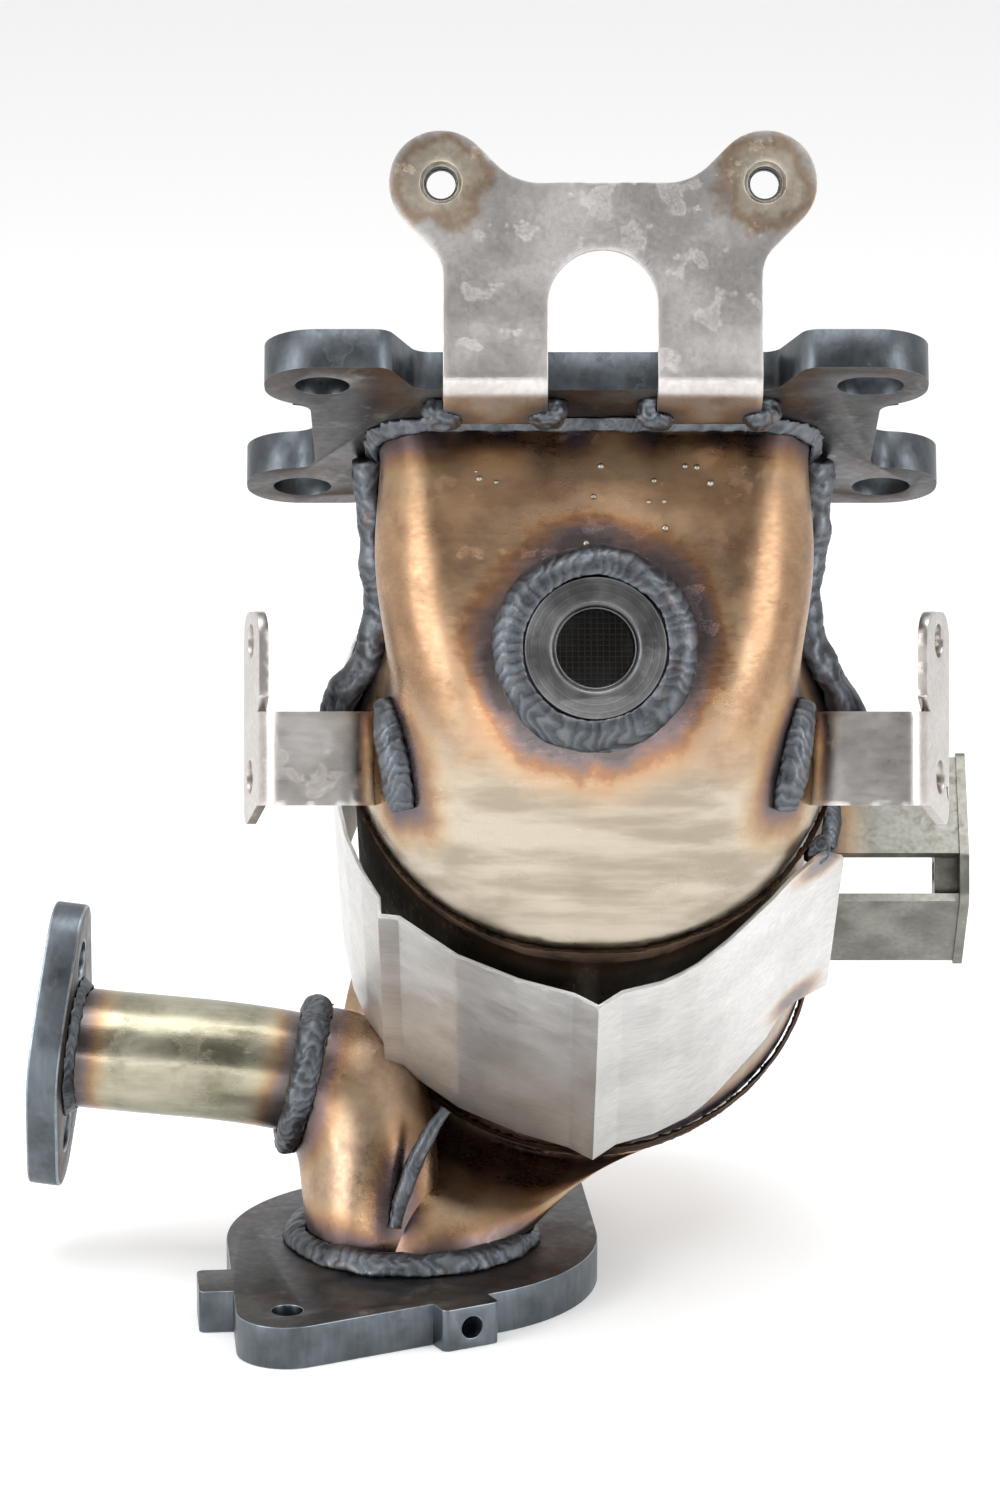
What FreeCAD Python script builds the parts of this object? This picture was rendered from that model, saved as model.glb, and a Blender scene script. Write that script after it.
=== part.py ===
import FreeCAD, Part
import math
import os
import Sketcher

# Close-coupled catalytic converter: a four-ear inlet flange, a two-piece stamped inlet
# dome with a sensor bung, a round can with its ceramic brick, a ribbed heat shield, an
# outlet shell with a side pipe, two outlet flanges and the sheet-metal brackets.
# Origin: centre of the outlet bore on the outlet flange's gasket face. Z points up, X
# points to the stay bracket's side, and the sensor bung faces -Y. Lengths in millimetres,
# angles in degrees.

os.makedirs("parts", exist_ok=True)
doc = FreeCAD.newDocument("catalytic_converter")
sheet = doc.addObject("Spreadsheet::Sheet", "sizes")

SIZES = (
    # can: origin is the centre of its lower end
    ("can_across", 38.7),
    ("can_back", 46.2),
    ("can_up", 64.3),
    ("can_tilt", 52.0),
    ("can_length", 120.0),
    ("can_radius", 50.0),
    ("can_wall", 1.5),
    ("mat_thickness", 4.0),
    ("mat_length", 92.0),
    ("brick_length", 100.0),
    ("brick_offset", 10.0),
    ("ring_weld_radius", 3.0),
    # inlet flange: origin is the near edge of its lower face
    ("inlet_forward", 93.6),
    ("inlet_up", 224.1),
    ("inlet_slope", 30.0),
    ("inlet_thickness", 8.0),
    ("inlet_ear_radius", 11.6),
    ("near_hole_across", 54.7),
    ("near_hole_in", 11.8),
    ("near_hole_radius", 5.5),
    ("near_slot_stretch", 1.2),
    ("far_hole_across", 60.7),
    ("far_hole_in", 78.75),
    ("far_hole_radius", 6.1),
    ("waist_across", 57.5),
    ("recess_across", 36.0),
    ("recess_in", 14.3),
    ("far_edge_in", 84.0),
    # dome
    ("dome_wall", 1.8),
    ("port_half_width", 44.5),
    ("port_front_in", 34.0),
    ("port_rear_in", 80.0),
    ("seam_weld_radius", 4.2),
    ("flange_weld_radius", 3.0),
    # sensor bung
    ("lean_angle", 15.0),
    ("bung_up", 166.0),
    ("bung_forward", 90.3),
    ("bung_radius", 14.35),
    ("bung_bore_radius", 8.25),
    ("bung_length", 15.0),
    ("bung_chamfer", 0.9),
    ("bung_weld_ring", 16.4),
    ("bung_weld_radius", 5.0),
    ("bung_weld_set_back", 4.6),
    # outlet shell, flange and its boss
    ("outlet_wall", 1.8),
    ("outlet_tube_radius", 23.5),
    ("outlet_stub", 2.4),
    ("outlet_thickness", 9.4),
    ("outlet_disc_radius", 41.0),
    ("outlet_lobe_radius", 11.0),
    ("outlet_lobe_pitch", 54.2),
    ("outlet_lobe_angle", 241.3),
    ("outlet_thread_radius", 3.4),
    ("edge_block_root", 6.0),
    ("outlet_weld_radius", 4.4),
    ("boss_reach", 5.4),
    ("boss_width", 13.4),
    ("boss_along", 9.1),
    ("boss_hole_radius", 2.5),
    ("boss_hole_depth", 13.0),
    ("tab_reach", 7.4),
    ("tab_width", 14.0),
    ("tab_along", 25.2),
    # side pipe and its flange
    ("side_pipe_radius", 13.2),
    ("side_pipe_wall", 1.5),
    ("side_neck_radius", 15.4),
    ("side_neck_across", -24.0),
    ("side_neck_back", 9.3),
    ("side_neck_up", 44.0),
    ("side_neck_slope", 13.5),
    ("side_weld_radius", 3.9),
    ("side_face_across", -74.6),
    ("side_face_up", 50.0),
    ("side_face_slope", 5.8),
    ("side_face_turn", 6.0),
    ("side_flange_thickness", 7.0),
    ("side_flange_length", 64.8),
    ("side_flange_disc_radius", 21.0),
    ("side_flange_lobe_radius", 10.0),
    ("side_bolt_pitch", 40.0),
    ("side_bolt_radius", 4.2),
    ("side_flange_weld_radius", 2.6),
    # heat shield, in the can's own axes
    ("shield_sheet", 0.8),
    ("shield_standoff", 7.0),
    ("shield_rib", 2.4),
    ("shield_top", 115.0),
    ("shield_bottom", 24.0),
    ("shield_tack_radius", 3.2),
    # top bracket, in the leaning axes
    ("lean_back", -49.46),
    ("lean_up", 133.9),
    ("bracket_sheet", 2.6),
    ("bracket_across", 40.0),
    ("bracket_stand", 55.4),
    ("bracket_ear_up", 113.1),
    ("bracket_ear_pitch", 64.7),
    ("bracket_ear_radius", 10.4),
    ("bracket_hole_radius", 4.2),
    ("bracket_half_width", 31.9),
    ("bracket_slot_radius", 10.97),
    ("bracket_slot_up", 88.7),
    ("bracket_tack_radius", 4.3),
    ("weld_nut_across", 13.0),
    ("weld_nut_height", 6.0),
    ("weld_nut_bore_radius", 3.4),
    # ear brackets, in the leaning axes
    ("ear_sheet", 2.0),
    ("ear_strap_top", 7.9),
    ("ear_strap_bottom", -11.4),
    ("ear_stand", 20.0),
    ("ear_plate_top", 28.6),
    ("ear_plate_bottom", -16.6),
    ("ear_plate_depth", 21.0),
    ("ear_hole_radius", 3.5),
    ("ear_hole_upper", 22.6),
    ("ear_hole_lower", -5.6),
    ("ear_foot_weld_radius", 4.0),
    ("left_ear_across", -28.6),
    ("left_ear_splay", 12.0),
    ("right_ear_across", 105.6),
    ("right_ear_splay", 18.0),
    # stay bracket, in the leaning axes
    ("stay_sheet", 2.0),
    ("stay_across", 120.0),
    ("stay_weld_radius", 3.4),
    ("stay_nut_across", 10.0),
    ("stay_nut_height", 5.0),
    ("stay_nut_bore_radius", 2.5),
    ("ear_strap_reach", 20.5),
    ("crease_weld_radius", 2.6),
    ("bracket_low", 60.0),
    ("stay_nut_up", -26.4),
    ("stay_nut_stand", -47.5),
)

for row, (name, value) in enumerate(SIZES, start=1):
    sheet.set("A%d" % row, name)
    sheet.set("B%d" % row, str(value))
    sheet.setAlias("B%d" % row, name)
doc.recompute()

SIZE = {name: float(sheet.get(name)) for name, value in SIZES}

AXIS_X = FreeCAD.Vector(1, 0, 0)
AXIS_Y = FreeCAD.Vector(0, 1, 0)
AXIS_Z = FreeCAD.Vector(0, 0, 1)
SNUG = 0.05


# ---------------------------------------------------------------- frames

def point(across, back, up):
    """A point or direction from plain numbers."""
    return FreeCAD.Vector(across, back, up)


def tipped(origin, angle):
    """Axes at origin, turned about X so that Z leans towards -Y by the angle."""
    return FreeCAD.Placement(origin, FreeCAD.Rotation(AXIS_X, angle))


CAN = tipped(point(SIZE["can_across"], SIZE["can_back"], SIZE["can_up"]), SIZE["can_tilt"])
INLET = tipped(point(SIZE["can_across"], -SIZE["inlet_forward"], SIZE["inlet_up"]),
               -SIZE["inlet_slope"])
LEAN = tipped(point(0, SIZE["lean_back"], SIZE["lean_up"]), 90 - SIZE["lean_angle"])
BUNG = tipped(point(SIZE["can_across"], -SIZE["bung_forward"], SIZE["bung_up"]),
              90 - SIZE["lean_angle"])
NECK = FreeCAD.Placement(
    point(SIZE["side_neck_across"], SIZE["side_neck_back"], SIZE["side_neck_up"]),
    FreeCAD.Rotation(AXIS_Y, 90 + SIZE["side_neck_slope"]))
SIDE_FACE = FreeCAD.Placement(
    point(SIZE["side_face_across"], SIZE["side_neck_back"] + SIZE["side_pipe_wall"],
          SIZE["side_face_up"]),
    FreeCAD.Rotation(AXIS_Z, -SIZE["side_face_turn"]).multiply(
        FreeCAD.Rotation(AXIS_Y, 90 + SIZE["side_face_slope"])))


def moved(frame, across, back, up):
    """The frame shifted along its own axes."""
    return frame.multiply(FreeCAD.Placement(point(across, back, up), FreeCAD.Rotation()))


def direction(frame, axis):
    """A frame's own axis in the part's axes."""
    return frame.Rotation.multVec(axis)


# ---------------------------------------------------------------- document objects

def feature(label, shape):
    """A sub-part whose shape is worked out with Part's functions."""
    item = doc.addObject("Part::Feature", label)
    item.Label = label
    item.Shape = shape
    return item


def cylinder(name, frame, radius, height):
    """A cylinder along the frame's Z whose sizes are expressions."""
    item = doc.addObject("Part::Cylinder", name)
    item.setExpression("Radius", radius)
    item.setExpression("Height", height)
    item.Placement = frame
    return item


def cut(label, base, tool):
    """Base less tool."""
    item = doc.addObject("Part::Cut", label)
    item.Label = label
    item.Base = base
    item.Tool = tool
    return item


def fuse(label, items):
    """The items joined into one."""
    item = doc.addObject("Part::MultiFuse", label)
    item.Label = label
    item.Shapes = items
    return item


def common(label, items):
    """What the items share."""
    item = doc.addObject("Part::MultiCommon", label)
    item.Label = label
    item.Shapes = items
    return item


def outline(corners):
    """Lines and tangent arcs, in order, through corners given as (x, y, corner radius)."""
    count = len(corners)
    enter = []
    leave = []
    arcs = []
    for index, (x, y, radius) in enumerate(corners):
        here = point(x, y, 0)
        before = point(corners[index - 1][0], corners[index - 1][1], 0) - here
        after = point(corners[(index + 1) % count][0], corners[(index + 1) % count][1], 0) - here
        before.normalize()
        after.normalize()
        half = before.getAngle(after) / 2
        run = radius / math.tan(half)
        enter.append(here + before * run)
        leave.append(here + after * run)
        arcs.append(None)
        if radius > 0:
            inward = (before + after).normalize()
            middle = here + inward * (radius / math.sin(half) - radius)
            arcs[-1] = Part.Arc(enter[-1], middle, leave[-1])
    pieces = []
    for index, arc in enumerate(arcs):
        if arc is not None:
            pieces.append(arc)
        stop = enter[(index + 1) % count]
        if leave[index].distanceToPoint(stop) > SNUG / 10:
            pieces.append(Part.LineSegment(leave[index], stop))
    return pieces


def ribbon(points, thickness):
    """Corners of a bent strip: its middle line (x, y, bend radius) widened both ways."""
    near = []
    far = []
    half = thickness / 2
    for index, (x, y, radius) in enumerate(points):
        here = point(x, y, 0)
        legs = []
        if index > 0:
            legs.append(here - point(points[index - 1][0], points[index - 1][1], 0))
        if index < len(points) - 1:
            legs.append(point(points[index + 1][0], points[index + 1][1], 0) - here)
        normals = [point(-leg.y, leg.x, 0).normalize() for leg in legs]
        across = normals[0] + normals[-1]
        across.normalize()
        reach = half / across.dot(normals[0])
        turn = 0.0
        if len(legs) == 2:
            turn = legs[0].cross(legs[1]).z
        inner = max(radius - half, 0.0) if radius > 0 else 0.0
        outer = radius + half if radius > 0 else 0.0
        left = here + across * reach
        right = here - across * reach
        near.append((left.x, left.y, inner if turn > 0 else outer))
        far.append((right.x, right.y, outer if turn > 0 else inner))
    return near + far[::-1]


def sketch(body, role, name, geometry):
    """A sketch on one of the body's own origin planes."""
    item = body.newObject("Sketcher::SketchObject", name)
    plane = [part for part in body.Origin.OriginFeatures if part.Role == role][0]
    item.AttachmentSupport = [(plane, "")]
    item.MapMode = "FlatFace"
    item.addGeometry(geometry, False)
    return item


def padded(label, frame, role, corners, length, both_ways=False):
    """A body with one outline padded by an expression."""
    body = doc.addObject("PartDesign::Body", label)
    body.Label = label
    pad = body.newObject("PartDesign::Pad", label + "_pad")
    pad.Profile = sketch(body, role, label + "_outline", outline(corners))
    pad.setExpression("Length", length)
    if both_ways:
        pad.SideType = "Symmetric"
    body.Tip = pad
    body.Placement = frame
    return body


def add_pad(body, role, name, corners, length):
    """A further outline padded onto the body."""
    pad = body.newObject("PartDesign::Pad", name)
    pad.Profile = sketch(body, role, name + "_outline", outline(corners))
    pad.setExpression("Length", length)
    body.Tip = pad


def add_holes(body, role, name, places, radius, length):
    """Round holes at (x, y) places, cut both ways from the sketch plane."""
    drawing = sketch(body, role, name + "_circles", [])
    for index, (x, y) in enumerate(places):
        drawing.addGeometry(Part.Circle(point(x, y, 0), AXIS_Z, 1.0), False)
        mark = drawing.addConstraint(Sketcher.Constraint("Radius", index, 1.0))
        drawing.setExpression("Constraints[%d]" % mark, radius)
    pocket = body.newObject("PartDesign::Pocket", name)
    pocket.Profile = drawing
    pocket.setExpression("Length", length)
    pocket.SideType = "Symmetric"
    body.Tip = pocket


# ---------------------------------------------------------------- free shapes

def facing(centre, normal, across):
    """Axes at centre whose Z is the normal and whose X lies nearest to across."""
    x_way = across - normal * (across.dot(normal) / normal.dot(normal))
    return FreeCAD.Placement(centre, FreeCAD.Rotation(x_way, normal.cross(x_way), normal, "ZXY"))


def soft_box(frame, half_width, half_depth, corner):
    """A rounded rectangle wire in the frame's XY plane."""
    corners = [(half_width, -half_depth, corner), (half_width, half_depth, corner),
               (-half_width, half_depth, corner), (-half_width, -half_depth, corner)]
    wire = Part.Wire([piece.toShape() for piece in outline(corners)])
    wire.Placement = frame
    return wire


def round_wire(frame, radius):
    """A circle wire in the frame's XY plane."""
    wire = Part.Wire(Part.makeCircle(radius))
    wire.Placement = frame
    return wire


def bead_ring(frame, ring_radius, bead_radius):
    """A round weld bead about the frame's Z."""
    bead = Part.makeTorus(ring_radius, bead_radius)
    bead.Placement = frame
    return bead


def bead_along(points, radius):
    """A weld bead through the points, tapered at both ends."""
    last = len(points) - 1
    wires = []
    for index, place in enumerate(points):
        way = points[min(index + 1, last)] - points[max(index - 1, 0)]
        girth = radius if 0 < index < last else radius * 0.75
        wires.append(round_wire(facing(place, way.normalize(), AXIS_X), girth))
    return Part.makeLoft(wires, True, False)


def largest(shape):
    """The biggest solid of a shape."""
    return max(shape.Solids, key=lambda solid: solid.Volume)


# ---------------------------------------------------------------- can, mat and brick

def make_can():
    outer = cylinder("can_outer", CAN, "sizes.can_radius", "sizes.can_length")
    inner = cylinder("can_inner", CAN, "sizes.can_radius - sizes.can_wall", "sizes.can_length")
    cut("can_shell", outer, inner)
    start = SIZE["brick_offset"]
    brick = cylinder("catalyst_brick", moved(CAN, 0, 0, start),
                     "sizes.can_radius - sizes.can_wall - sizes.mat_thickness",
                     "sizes.brick_length")
    brick.Label = "catalyst_brick"
    margin = (SIZE["brick_length"] - SIZE["mat_length"]) / 2
    mat_frame = moved(CAN, 0, 0, start + margin)
    mat_outer = cylinder("mat_outer", mat_frame, "sizes.can_radius - sizes.can_wall",
                         "sizes.mat_length")
    mat_inner = cylinder("mat_inner", mat_frame,
                         "sizes.can_radius - sizes.can_wall - sizes.mat_thickness",
                         "sizes.mat_length")
    cut("support_mat", mat_outer, mat_inner)


# ---------------------------------------------------------------- inlet dome

def dome_sections(inset):
    """The dome's cross-sections from the port to the can, shrunk by the inset."""
    slope = math.radians(SIZE["inlet_slope"])
    tilt = math.radians(SIZE["can_tilt"])
    front = INLET.multVec(point(0, SIZE["port_front_in"], 0))
    rear = INLET.multVec(point(0, SIZE["port_rear_in"], 0))
    can_top = CAN.multVec(point(0, 0, SIZE["can_length"]))
    port_way = direction(INLET, AXIS_Y) * -1
    ring_way = direction(CAN, AXIS_Y) * -1
    # hinge: where the port's plane meets the can's top plane
    across = port_way.y * ring_way.z - port_way.z * ring_way.y
    gap = can_top - rear
    run = (gap.y * ring_way.z - gap.z * ring_way.y) / across
    hinge = rear + port_way * run
    port_near = hinge.distanceToPoint(rear)
    port_far = hinge.distanceToPoint(front)
    ring_near = hinge.distanceToPoint(can_top) - SIZE["can_radius"]
    ring_far = ring_near + 2 * SIZE["can_radius"]
    start = math.pi - slope
    sweep = slope + tilt
    width = SIZE["port_half_width"]
    radius = SIZE["can_radius"]
    waist = width - 2
    # share of the turn, near and far reach from the hinge, half width, corner radius
    rows = (
        (0.00, port_near, port_far, width, 11.0),
        (0.25, 7.6, 60.5, width, 15.0),
        (0.50, 6.0, 72.6, width - 0.6, 21.0),
        (0.74, 4.4, 87.4, waist, 30.0),
        (0.90, 3.0, 97.6, radius - 2.6, 40.0),
        (1.00, ring_near, ring_far, radius, radius - 0.6),
    )
    wires = []
    for share, near, far, half_width, corner in rows:
        angle = start + sweep * share
        way = point(0, math.cos(angle), math.sin(angle))
        frame = facing(hinge + way * ((near + far) / 2), AXIS_X.cross(way), AXIS_X)
        wires.append(soft_box(frame, half_width - inset, (far - near) / 2 - inset, corner - inset))
    return wires


def front_half():
    """A block holding everything in front of the dome's seam."""
    top = INLET.multVec(point(0, (SIZE["port_front_in"] + SIZE["port_rear_in"]) / 2, 0))
    low = CAN.multVec(point(0, 0, SIZE["can_length"]))
    reach = 2 * SIZE["can_length"]
    down = low - top
    down.normalize()
    forward = point(0, down.z, -down.y)
    corner = top - down * reach - AXIS_X * reach
    wide = AXIS_X * (2 * reach)
    tall = down * (2 * reach)
    face = Part.Face(Part.makePolygon(
        [corner, corner + wide, corner + wide + tall, corner + tall, corner]))
    return face.extrude(forward * reach)


def seam_points(side):
    """The side seam's path from the flange to the can, and on round the can's ring."""
    middle = (SIZE["port_front_in"] + SIZE["port_rear_in"]) / 2
    width = SIZE["port_half_width"]
    top = INLET.multVec(point(side * (width + 1.6), middle, -1.0))
    low = CAN.multVec(point(side * (SIZE["can_radius"] + 4.2), 0, SIZE["can_length"]))
    down = low - top
    # share of the way down, distance from the middle
    rows = (
        (0.00, width + 1.6),
        (0.22, width + 0.4),
        (0.42, width - 0.8),
        (0.60, width - 0.6),
        (0.76, width + 2.2),
        (0.90, width + 7.0),
        (1.00, SIZE["can_radius"] + 4.0),
    )
    points = []
    for share, half_width in rows:
        place = top + down * share
        place.x = SIZE["can_across"] + side * half_width
        points.append(place)
    return points


# ---------------------------------------------------------------- heat shield

def shield_middle():
    """The shield's bent middle line in the can's axes, from the hidden end to the tab."""
    radius = SIZE["can_radius"] + SIZE["shield_standoff"]
    seat = SIZE["can_radius"] + SIZE["shield_sheet"]

    def around(angle, distance):
        turn = math.radians(angle)
        return (distance * math.sin(turn), -distance * math.cos(turn), 0.0)

    rib = SIZE["shield_rib"]
    line = [around(-158, seat), around(-148, seat + 0.4), around(-140, radius - 2.6)]
    line += [around(angle, radius - 2.4) for angle in (-126, -114, -102, -90, -78)]
    line += [around(-67, radius - 1.4), around(-58, radius - 0.6), around(-51, radius)]
    line += [around(-48, radius + rib), around(-45, radius - 0.2)]
    line += [around(angle, radius - 0.8) for angle in (-30, -16)]
    line += [around(-4, radius + 0.4), around(1, radius + rib + 0.6), around(6, radius)]
    line += [around(14.5, radius - 0.6), around(23, radius - 1.6), around(31, radius - 2.8)]
    line += [around(38, radius - 3.6), around(44, radius - 3.7), around(50, radius - 3.6)]
    tab_start = around(50, radius - 3.6)
    line.append((tab_start[0] + 11.2, tab_start[1] + 9.2, 0.0))
    return line


def make_shield():
    strip = padded("shield_strip", CAN, "XY_Plane", ribbon(shield_middle(), SIZE["shield_sheet"]),
                   "sizes.can_length + 20")
    top = SIZE["shield_top"]
    low = SIZE["shield_bottom"]
    reach = SIZE["can_radius"] + 2 * SIZE["shield_standoff"]
    edge = ((-reach, low + 2, 0), (0, low - 3, 0), (25, low, 0), (39, low + 11, 0),
            (43, low + 20, 3), (reach, low + 4, 0), (reach, top - 14, 0), (52, top - 4, 3),
            (47, top + 9, 3), (39, top + 7, 0), (18, top, 0), (-46, top, 0), (-reach, top - 2, 0))
    trim = padded("shield_trim", CAN, "XZ_Plane", edge, "4 * sizes.can_radius", True)
    return common("shield_blank", [strip, trim])


# ---------------------------------------------------------------- inlet flange

def make_inlet_flange(port_wire):
    ear = SIZE["inlet_ear_radius"]
    near_out = SIZE["near_hole_across"] + ear
    near_back = SIZE["near_hole_in"] + ear
    far_out = SIZE["far_hole_across"] + ear
    far_front = SIZE["far_hole_in"] - ear
    far_back = SIZE["far_hole_in"] + ear
    waist = SIZE["waist_across"]
    recess = SIZE["recess_across"]
    round_ear = ear - 0.6
    right = [
        (recess, SIZE["recess_in"], 4.0),
        (recess + 5.5, 0.0, 4.0),
        (near_out, 0.0, round_ear),
        (near_out, near_back, round_ear),
        (waist, near_back + 1.0, 4.0),
        (waist, far_front - 2.0, 5.0),
        (far_out, far_front, round_ear),
        (far_out, far_back, round_ear),
        (far_out - 2 * ear, far_back, 6.0),
        (far_out - 2.6 * ear, SIZE["far_edge_in"], 5.0),
    ]
    left = [(-x, y, radius) for x, y, radius in reversed(right)]
    plate = padded("inlet_plate", INLET, "XY_Plane", right + left, "sizes.inlet_thickness")
    add_holes(plate, "XY_Plane", "near_left_hole",
              [(-SIZE["near_hole_across"], SIZE["near_hole_in"])],
              "sizes.near_hole_radius", "4 * sizes.inlet_thickness")
    add_holes(plate, "XY_Plane", "far_holes",
              [(side * SIZE["far_hole_across"], SIZE["far_hole_in"]) for side in (-1, 1)],
              "sizes.far_hole_radius", "4 * sizes.inlet_thickness")
    slot = plate.newObject("PartDesign::Pocket", "near_right_slot")
    stretch = SIZE["near_slot_stretch"] + SIZE["near_hole_radius"]
    radius = SIZE["near_hole_radius"]
    x = SIZE["near_hole_across"]
    y = SIZE["near_hole_in"]
    corners = [(x - stretch, y - radius, radius * 0.98), (x + stretch, y - radius, radius * 0.98),
               (x + stretch, y + radius, radius * 0.98), (x - stretch, y + radius, radius * 0.98)]
    slot.Profile = sketch(plate, "XY_Plane", "near_right_slot_outline", outline(corners))
    slot.setExpression("Length", "4 * sizes.inlet_thickness")
    slot.SideType = "Symmetric"
    plate.Tip = slot
    face = Part.Face(port_wire)
    upward = direction(INLET, AXIS_Z)
    port = face.extrude(upward * (3 * SIZE["inlet_thickness"]))
    port.translate(upward * -SIZE["inlet_thickness"])
    opening = feature("inlet_port", port)
    return cut("inlet_flange", plate, opening)


# ---------------------------------------------------------------- outlet side

def outlet_shells(inset):
    """The main bend and the side neck of the outlet shell, shrunk by the inset.

    The bend is a flat bowl, so its void is what two inner lofts share, one moved up the flow
    and one down it by the inset, which keeps the wall where it lies nearly across the flow.
    """
    can_low = CAN.Base
    can_way = direction(CAN, AXIS_Z)
    tube = SIZE["outlet_tube_radius"]
    seat = SIZE["outlet_thickness"]
    main = (
        (can_low, can_way, SIZE["can_radius"]),
        (can_low + point(-7.0, 3.5, -14.0), point(0.10, -0.62, 0.78), SIZE["can_radius"] - 4.5),
        (can_low + point(-21.0, -14.0, -29.0), point(0.20, -0.38, 0.90), SIZE["can_radius"] - 15.0),
        (point(7.5, 3.5, seat + 8.0), point(0.16, -0.10, 0.98), tube - 2.0),
        (point(4.4, -1.6, seat), AXIS_Z, tube - 4.6),
    )
    bends = []
    for flow in (1, -1):
        wires = []
        for index, (centre, normal, radius) in enumerate(main):
            inside = 0 < index < len(main) - 1
            shift = FreeCAD.Vector(normal).normalize() * (flow * inset if inside else 0.0)
            wires.append(round_wire(facing(centre + shift, normal, AXIS_X), radius - inset))
        bends.append(Part.makeLoft(wires, True, False))
    bend = bends[0].common(bends[1]) if inset > 0 else bends[0]
    neck = NECK.Base
    neck_way = direction(NECK, AXIS_Z)
    side = (
        (neck, neck_way, SIZE["side_neck_radius"]),
        (neck + neck_way * 11.0 + point(0, -2.5, -3.0), point(0.62, -0.10, -0.62),
         SIZE["side_neck_radius"] + 1.6),
        (point(-9.0, -3.0, seat + 9.0), point(0.10, -0.05, -1.0), SIZE["side_neck_radius"] - 0.6),
        (point(-8.6, -5.2, seat), AXIS_Z * -1, SIZE["side_neck_radius"] - 1.6),
    )
    wires = []
    for centre, normal, radius in side:
        wires.append(round_wire(facing(centre, normal, AXIS_Y), radius - inset))
    branch = Part.makeLoft(wires, True, False)
    stub = Part.makeCylinder(tube - inset, SIZE["outlet_stub"], point(0, 0, seat))
    return bend, branch, stub


def belt_corners(disc, lobe, pitch, angle):
    """Touch points of the straight edges between a disc and a lobe at the angle."""
    turn = math.acos((disc - lobe) / pitch)
    way = math.radians(angle)
    centre = point(pitch * math.cos(way), pitch * math.sin(way), 0)
    touches = []
    for side in (-1, 1):
        normal = point(math.cos(way + side * turn), math.sin(way + side * turn), 0)
        touches.append((normal * disc, centre + normal * lobe))
    return centre, touches


def lobed_outline(disc, lobe, pitch, angle):
    """A disc with two opposite lobes joined by straight edges, as lines and arcs."""
    pieces = []
    ways = (angle, angle + 180)
    runs = [belt_corners(disc, lobe, pitch, way) for way in ways]
    for index, (centre, touches) in enumerate(runs):
        way = math.radians(ways[index])
        tip = centre + point(math.cos(way), math.sin(way), 0) * lobe
        (disc_before, lobe_before), (disc_after, lobe_after) = touches
        pieces.append(Part.LineSegment(disc_before, lobe_before))
        pieces.append(Part.Arc(lobe_before, tip, lobe_after))
        pieces.append(Part.LineSegment(lobe_after, disc_after))
        next_before = runs[1 - index][1][0][0]
        middle = disc_after + next_before
        middle.normalize()
        pieces.append(Part.Arc(disc_after, middle * disc, next_before))
    return pieces


def lobed_plate(label, frame, disc, lobe, pitch, angle, length):
    """A body padded from a two-lobed outline."""
    body = doc.addObject("PartDesign::Body", label)
    body.Label = label
    pad = body.newObject("PartDesign::Pad", label + "_pad")
    pad.Profile = sketch(body, "XY_Plane", label + "_outline",
                         lobed_outline(disc, lobe, pitch, angle))
    pad.setExpression("Length", length)
    body.Tip = pad
    body.Placement = frame
    return body


def edge_box(touches, along, width, reach, depth):
    """Corners of a block standing out from a straight edge, and its outward normal."""
    disc_touch, lobe_touch = touches
    way = lobe_touch - disc_touch
    way.normalize()
    normal = point(-way.y, way.x, 0)
    if normal.dot(disc_touch) < 0:
        normal = normal * -1
    centre = disc_touch + way * along
    start = centre - way * (width / 2) - normal * depth
    stop = centre + way * (width / 2) - normal * depth
    out = normal * (depth + reach)
    corners = [(start.x, start.y, 0.0), (stop.x, stop.y, 0.0),
               ((stop + out).x, (stop + out).y, 1.5), ((start + out).x, (start + out).y, 1.5)]
    return corners, centre, normal


def make_outlet_flange():
    disc = SIZE["outlet_disc_radius"]
    lobe = SIZE["outlet_lobe_radius"]
    pitch = SIZE["outlet_lobe_pitch"]
    angle = SIZE["outlet_lobe_angle"]
    plate = lobed_plate("outlet_plate", FreeCAD.Placement(), disc, lobe, pitch, angle,
                        "sizes.outlet_thickness")
    left_touch, front_touch = belt_corners(disc, lobe, pitch, angle)[1]
    root = SIZE["edge_block_root"]
    boss, boss_centre, boss_normal = edge_box(front_touch, SIZE["boss_along"],
                                              SIZE["boss_width"], SIZE["boss_reach"], root)
    tab = edge_box(left_touch, SIZE["tab_along"], SIZE["tab_width"], SIZE["tab_reach"], root)[0]
    add_pad(plate, "XY_Plane", "outlet_boss", boss, "sizes.outlet_thickness")
    add_pad(plate, "XY_Plane", "outlet_tab", tab, "sizes.outlet_thickness")
    way = math.radians(angle)
    x = pitch * math.cos(way)
    y = pitch * math.sin(way)
    add_holes(plate, "XY_Plane", "outlet_threads", [(x, y), (-x, -y)],
              "sizes.outlet_thread_radius", "4 * sizes.outlet_thickness")
    add_holes(plate, "XY_Plane", "outlet_bore", [(0, 0)],
              "sizes.outlet_tube_radius - sizes.outlet_wall", "4 * sizes.outlet_thickness")
    mouth = boss_centre + boss_normal * (SIZE["boss_reach"] + 1.0)
    mouth.z = SIZE["outlet_thickness"] / 2
    frame = FreeCAD.Placement(mouth, FreeCAD.Rotation(AXIS_Z, boss_normal * -1))
    drill = cylinder("boss_drill", frame, "sizes.boss_hole_radius", "sizes.boss_hole_depth + 1")
    return cut("outlet_flange", plate, drill)


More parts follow.
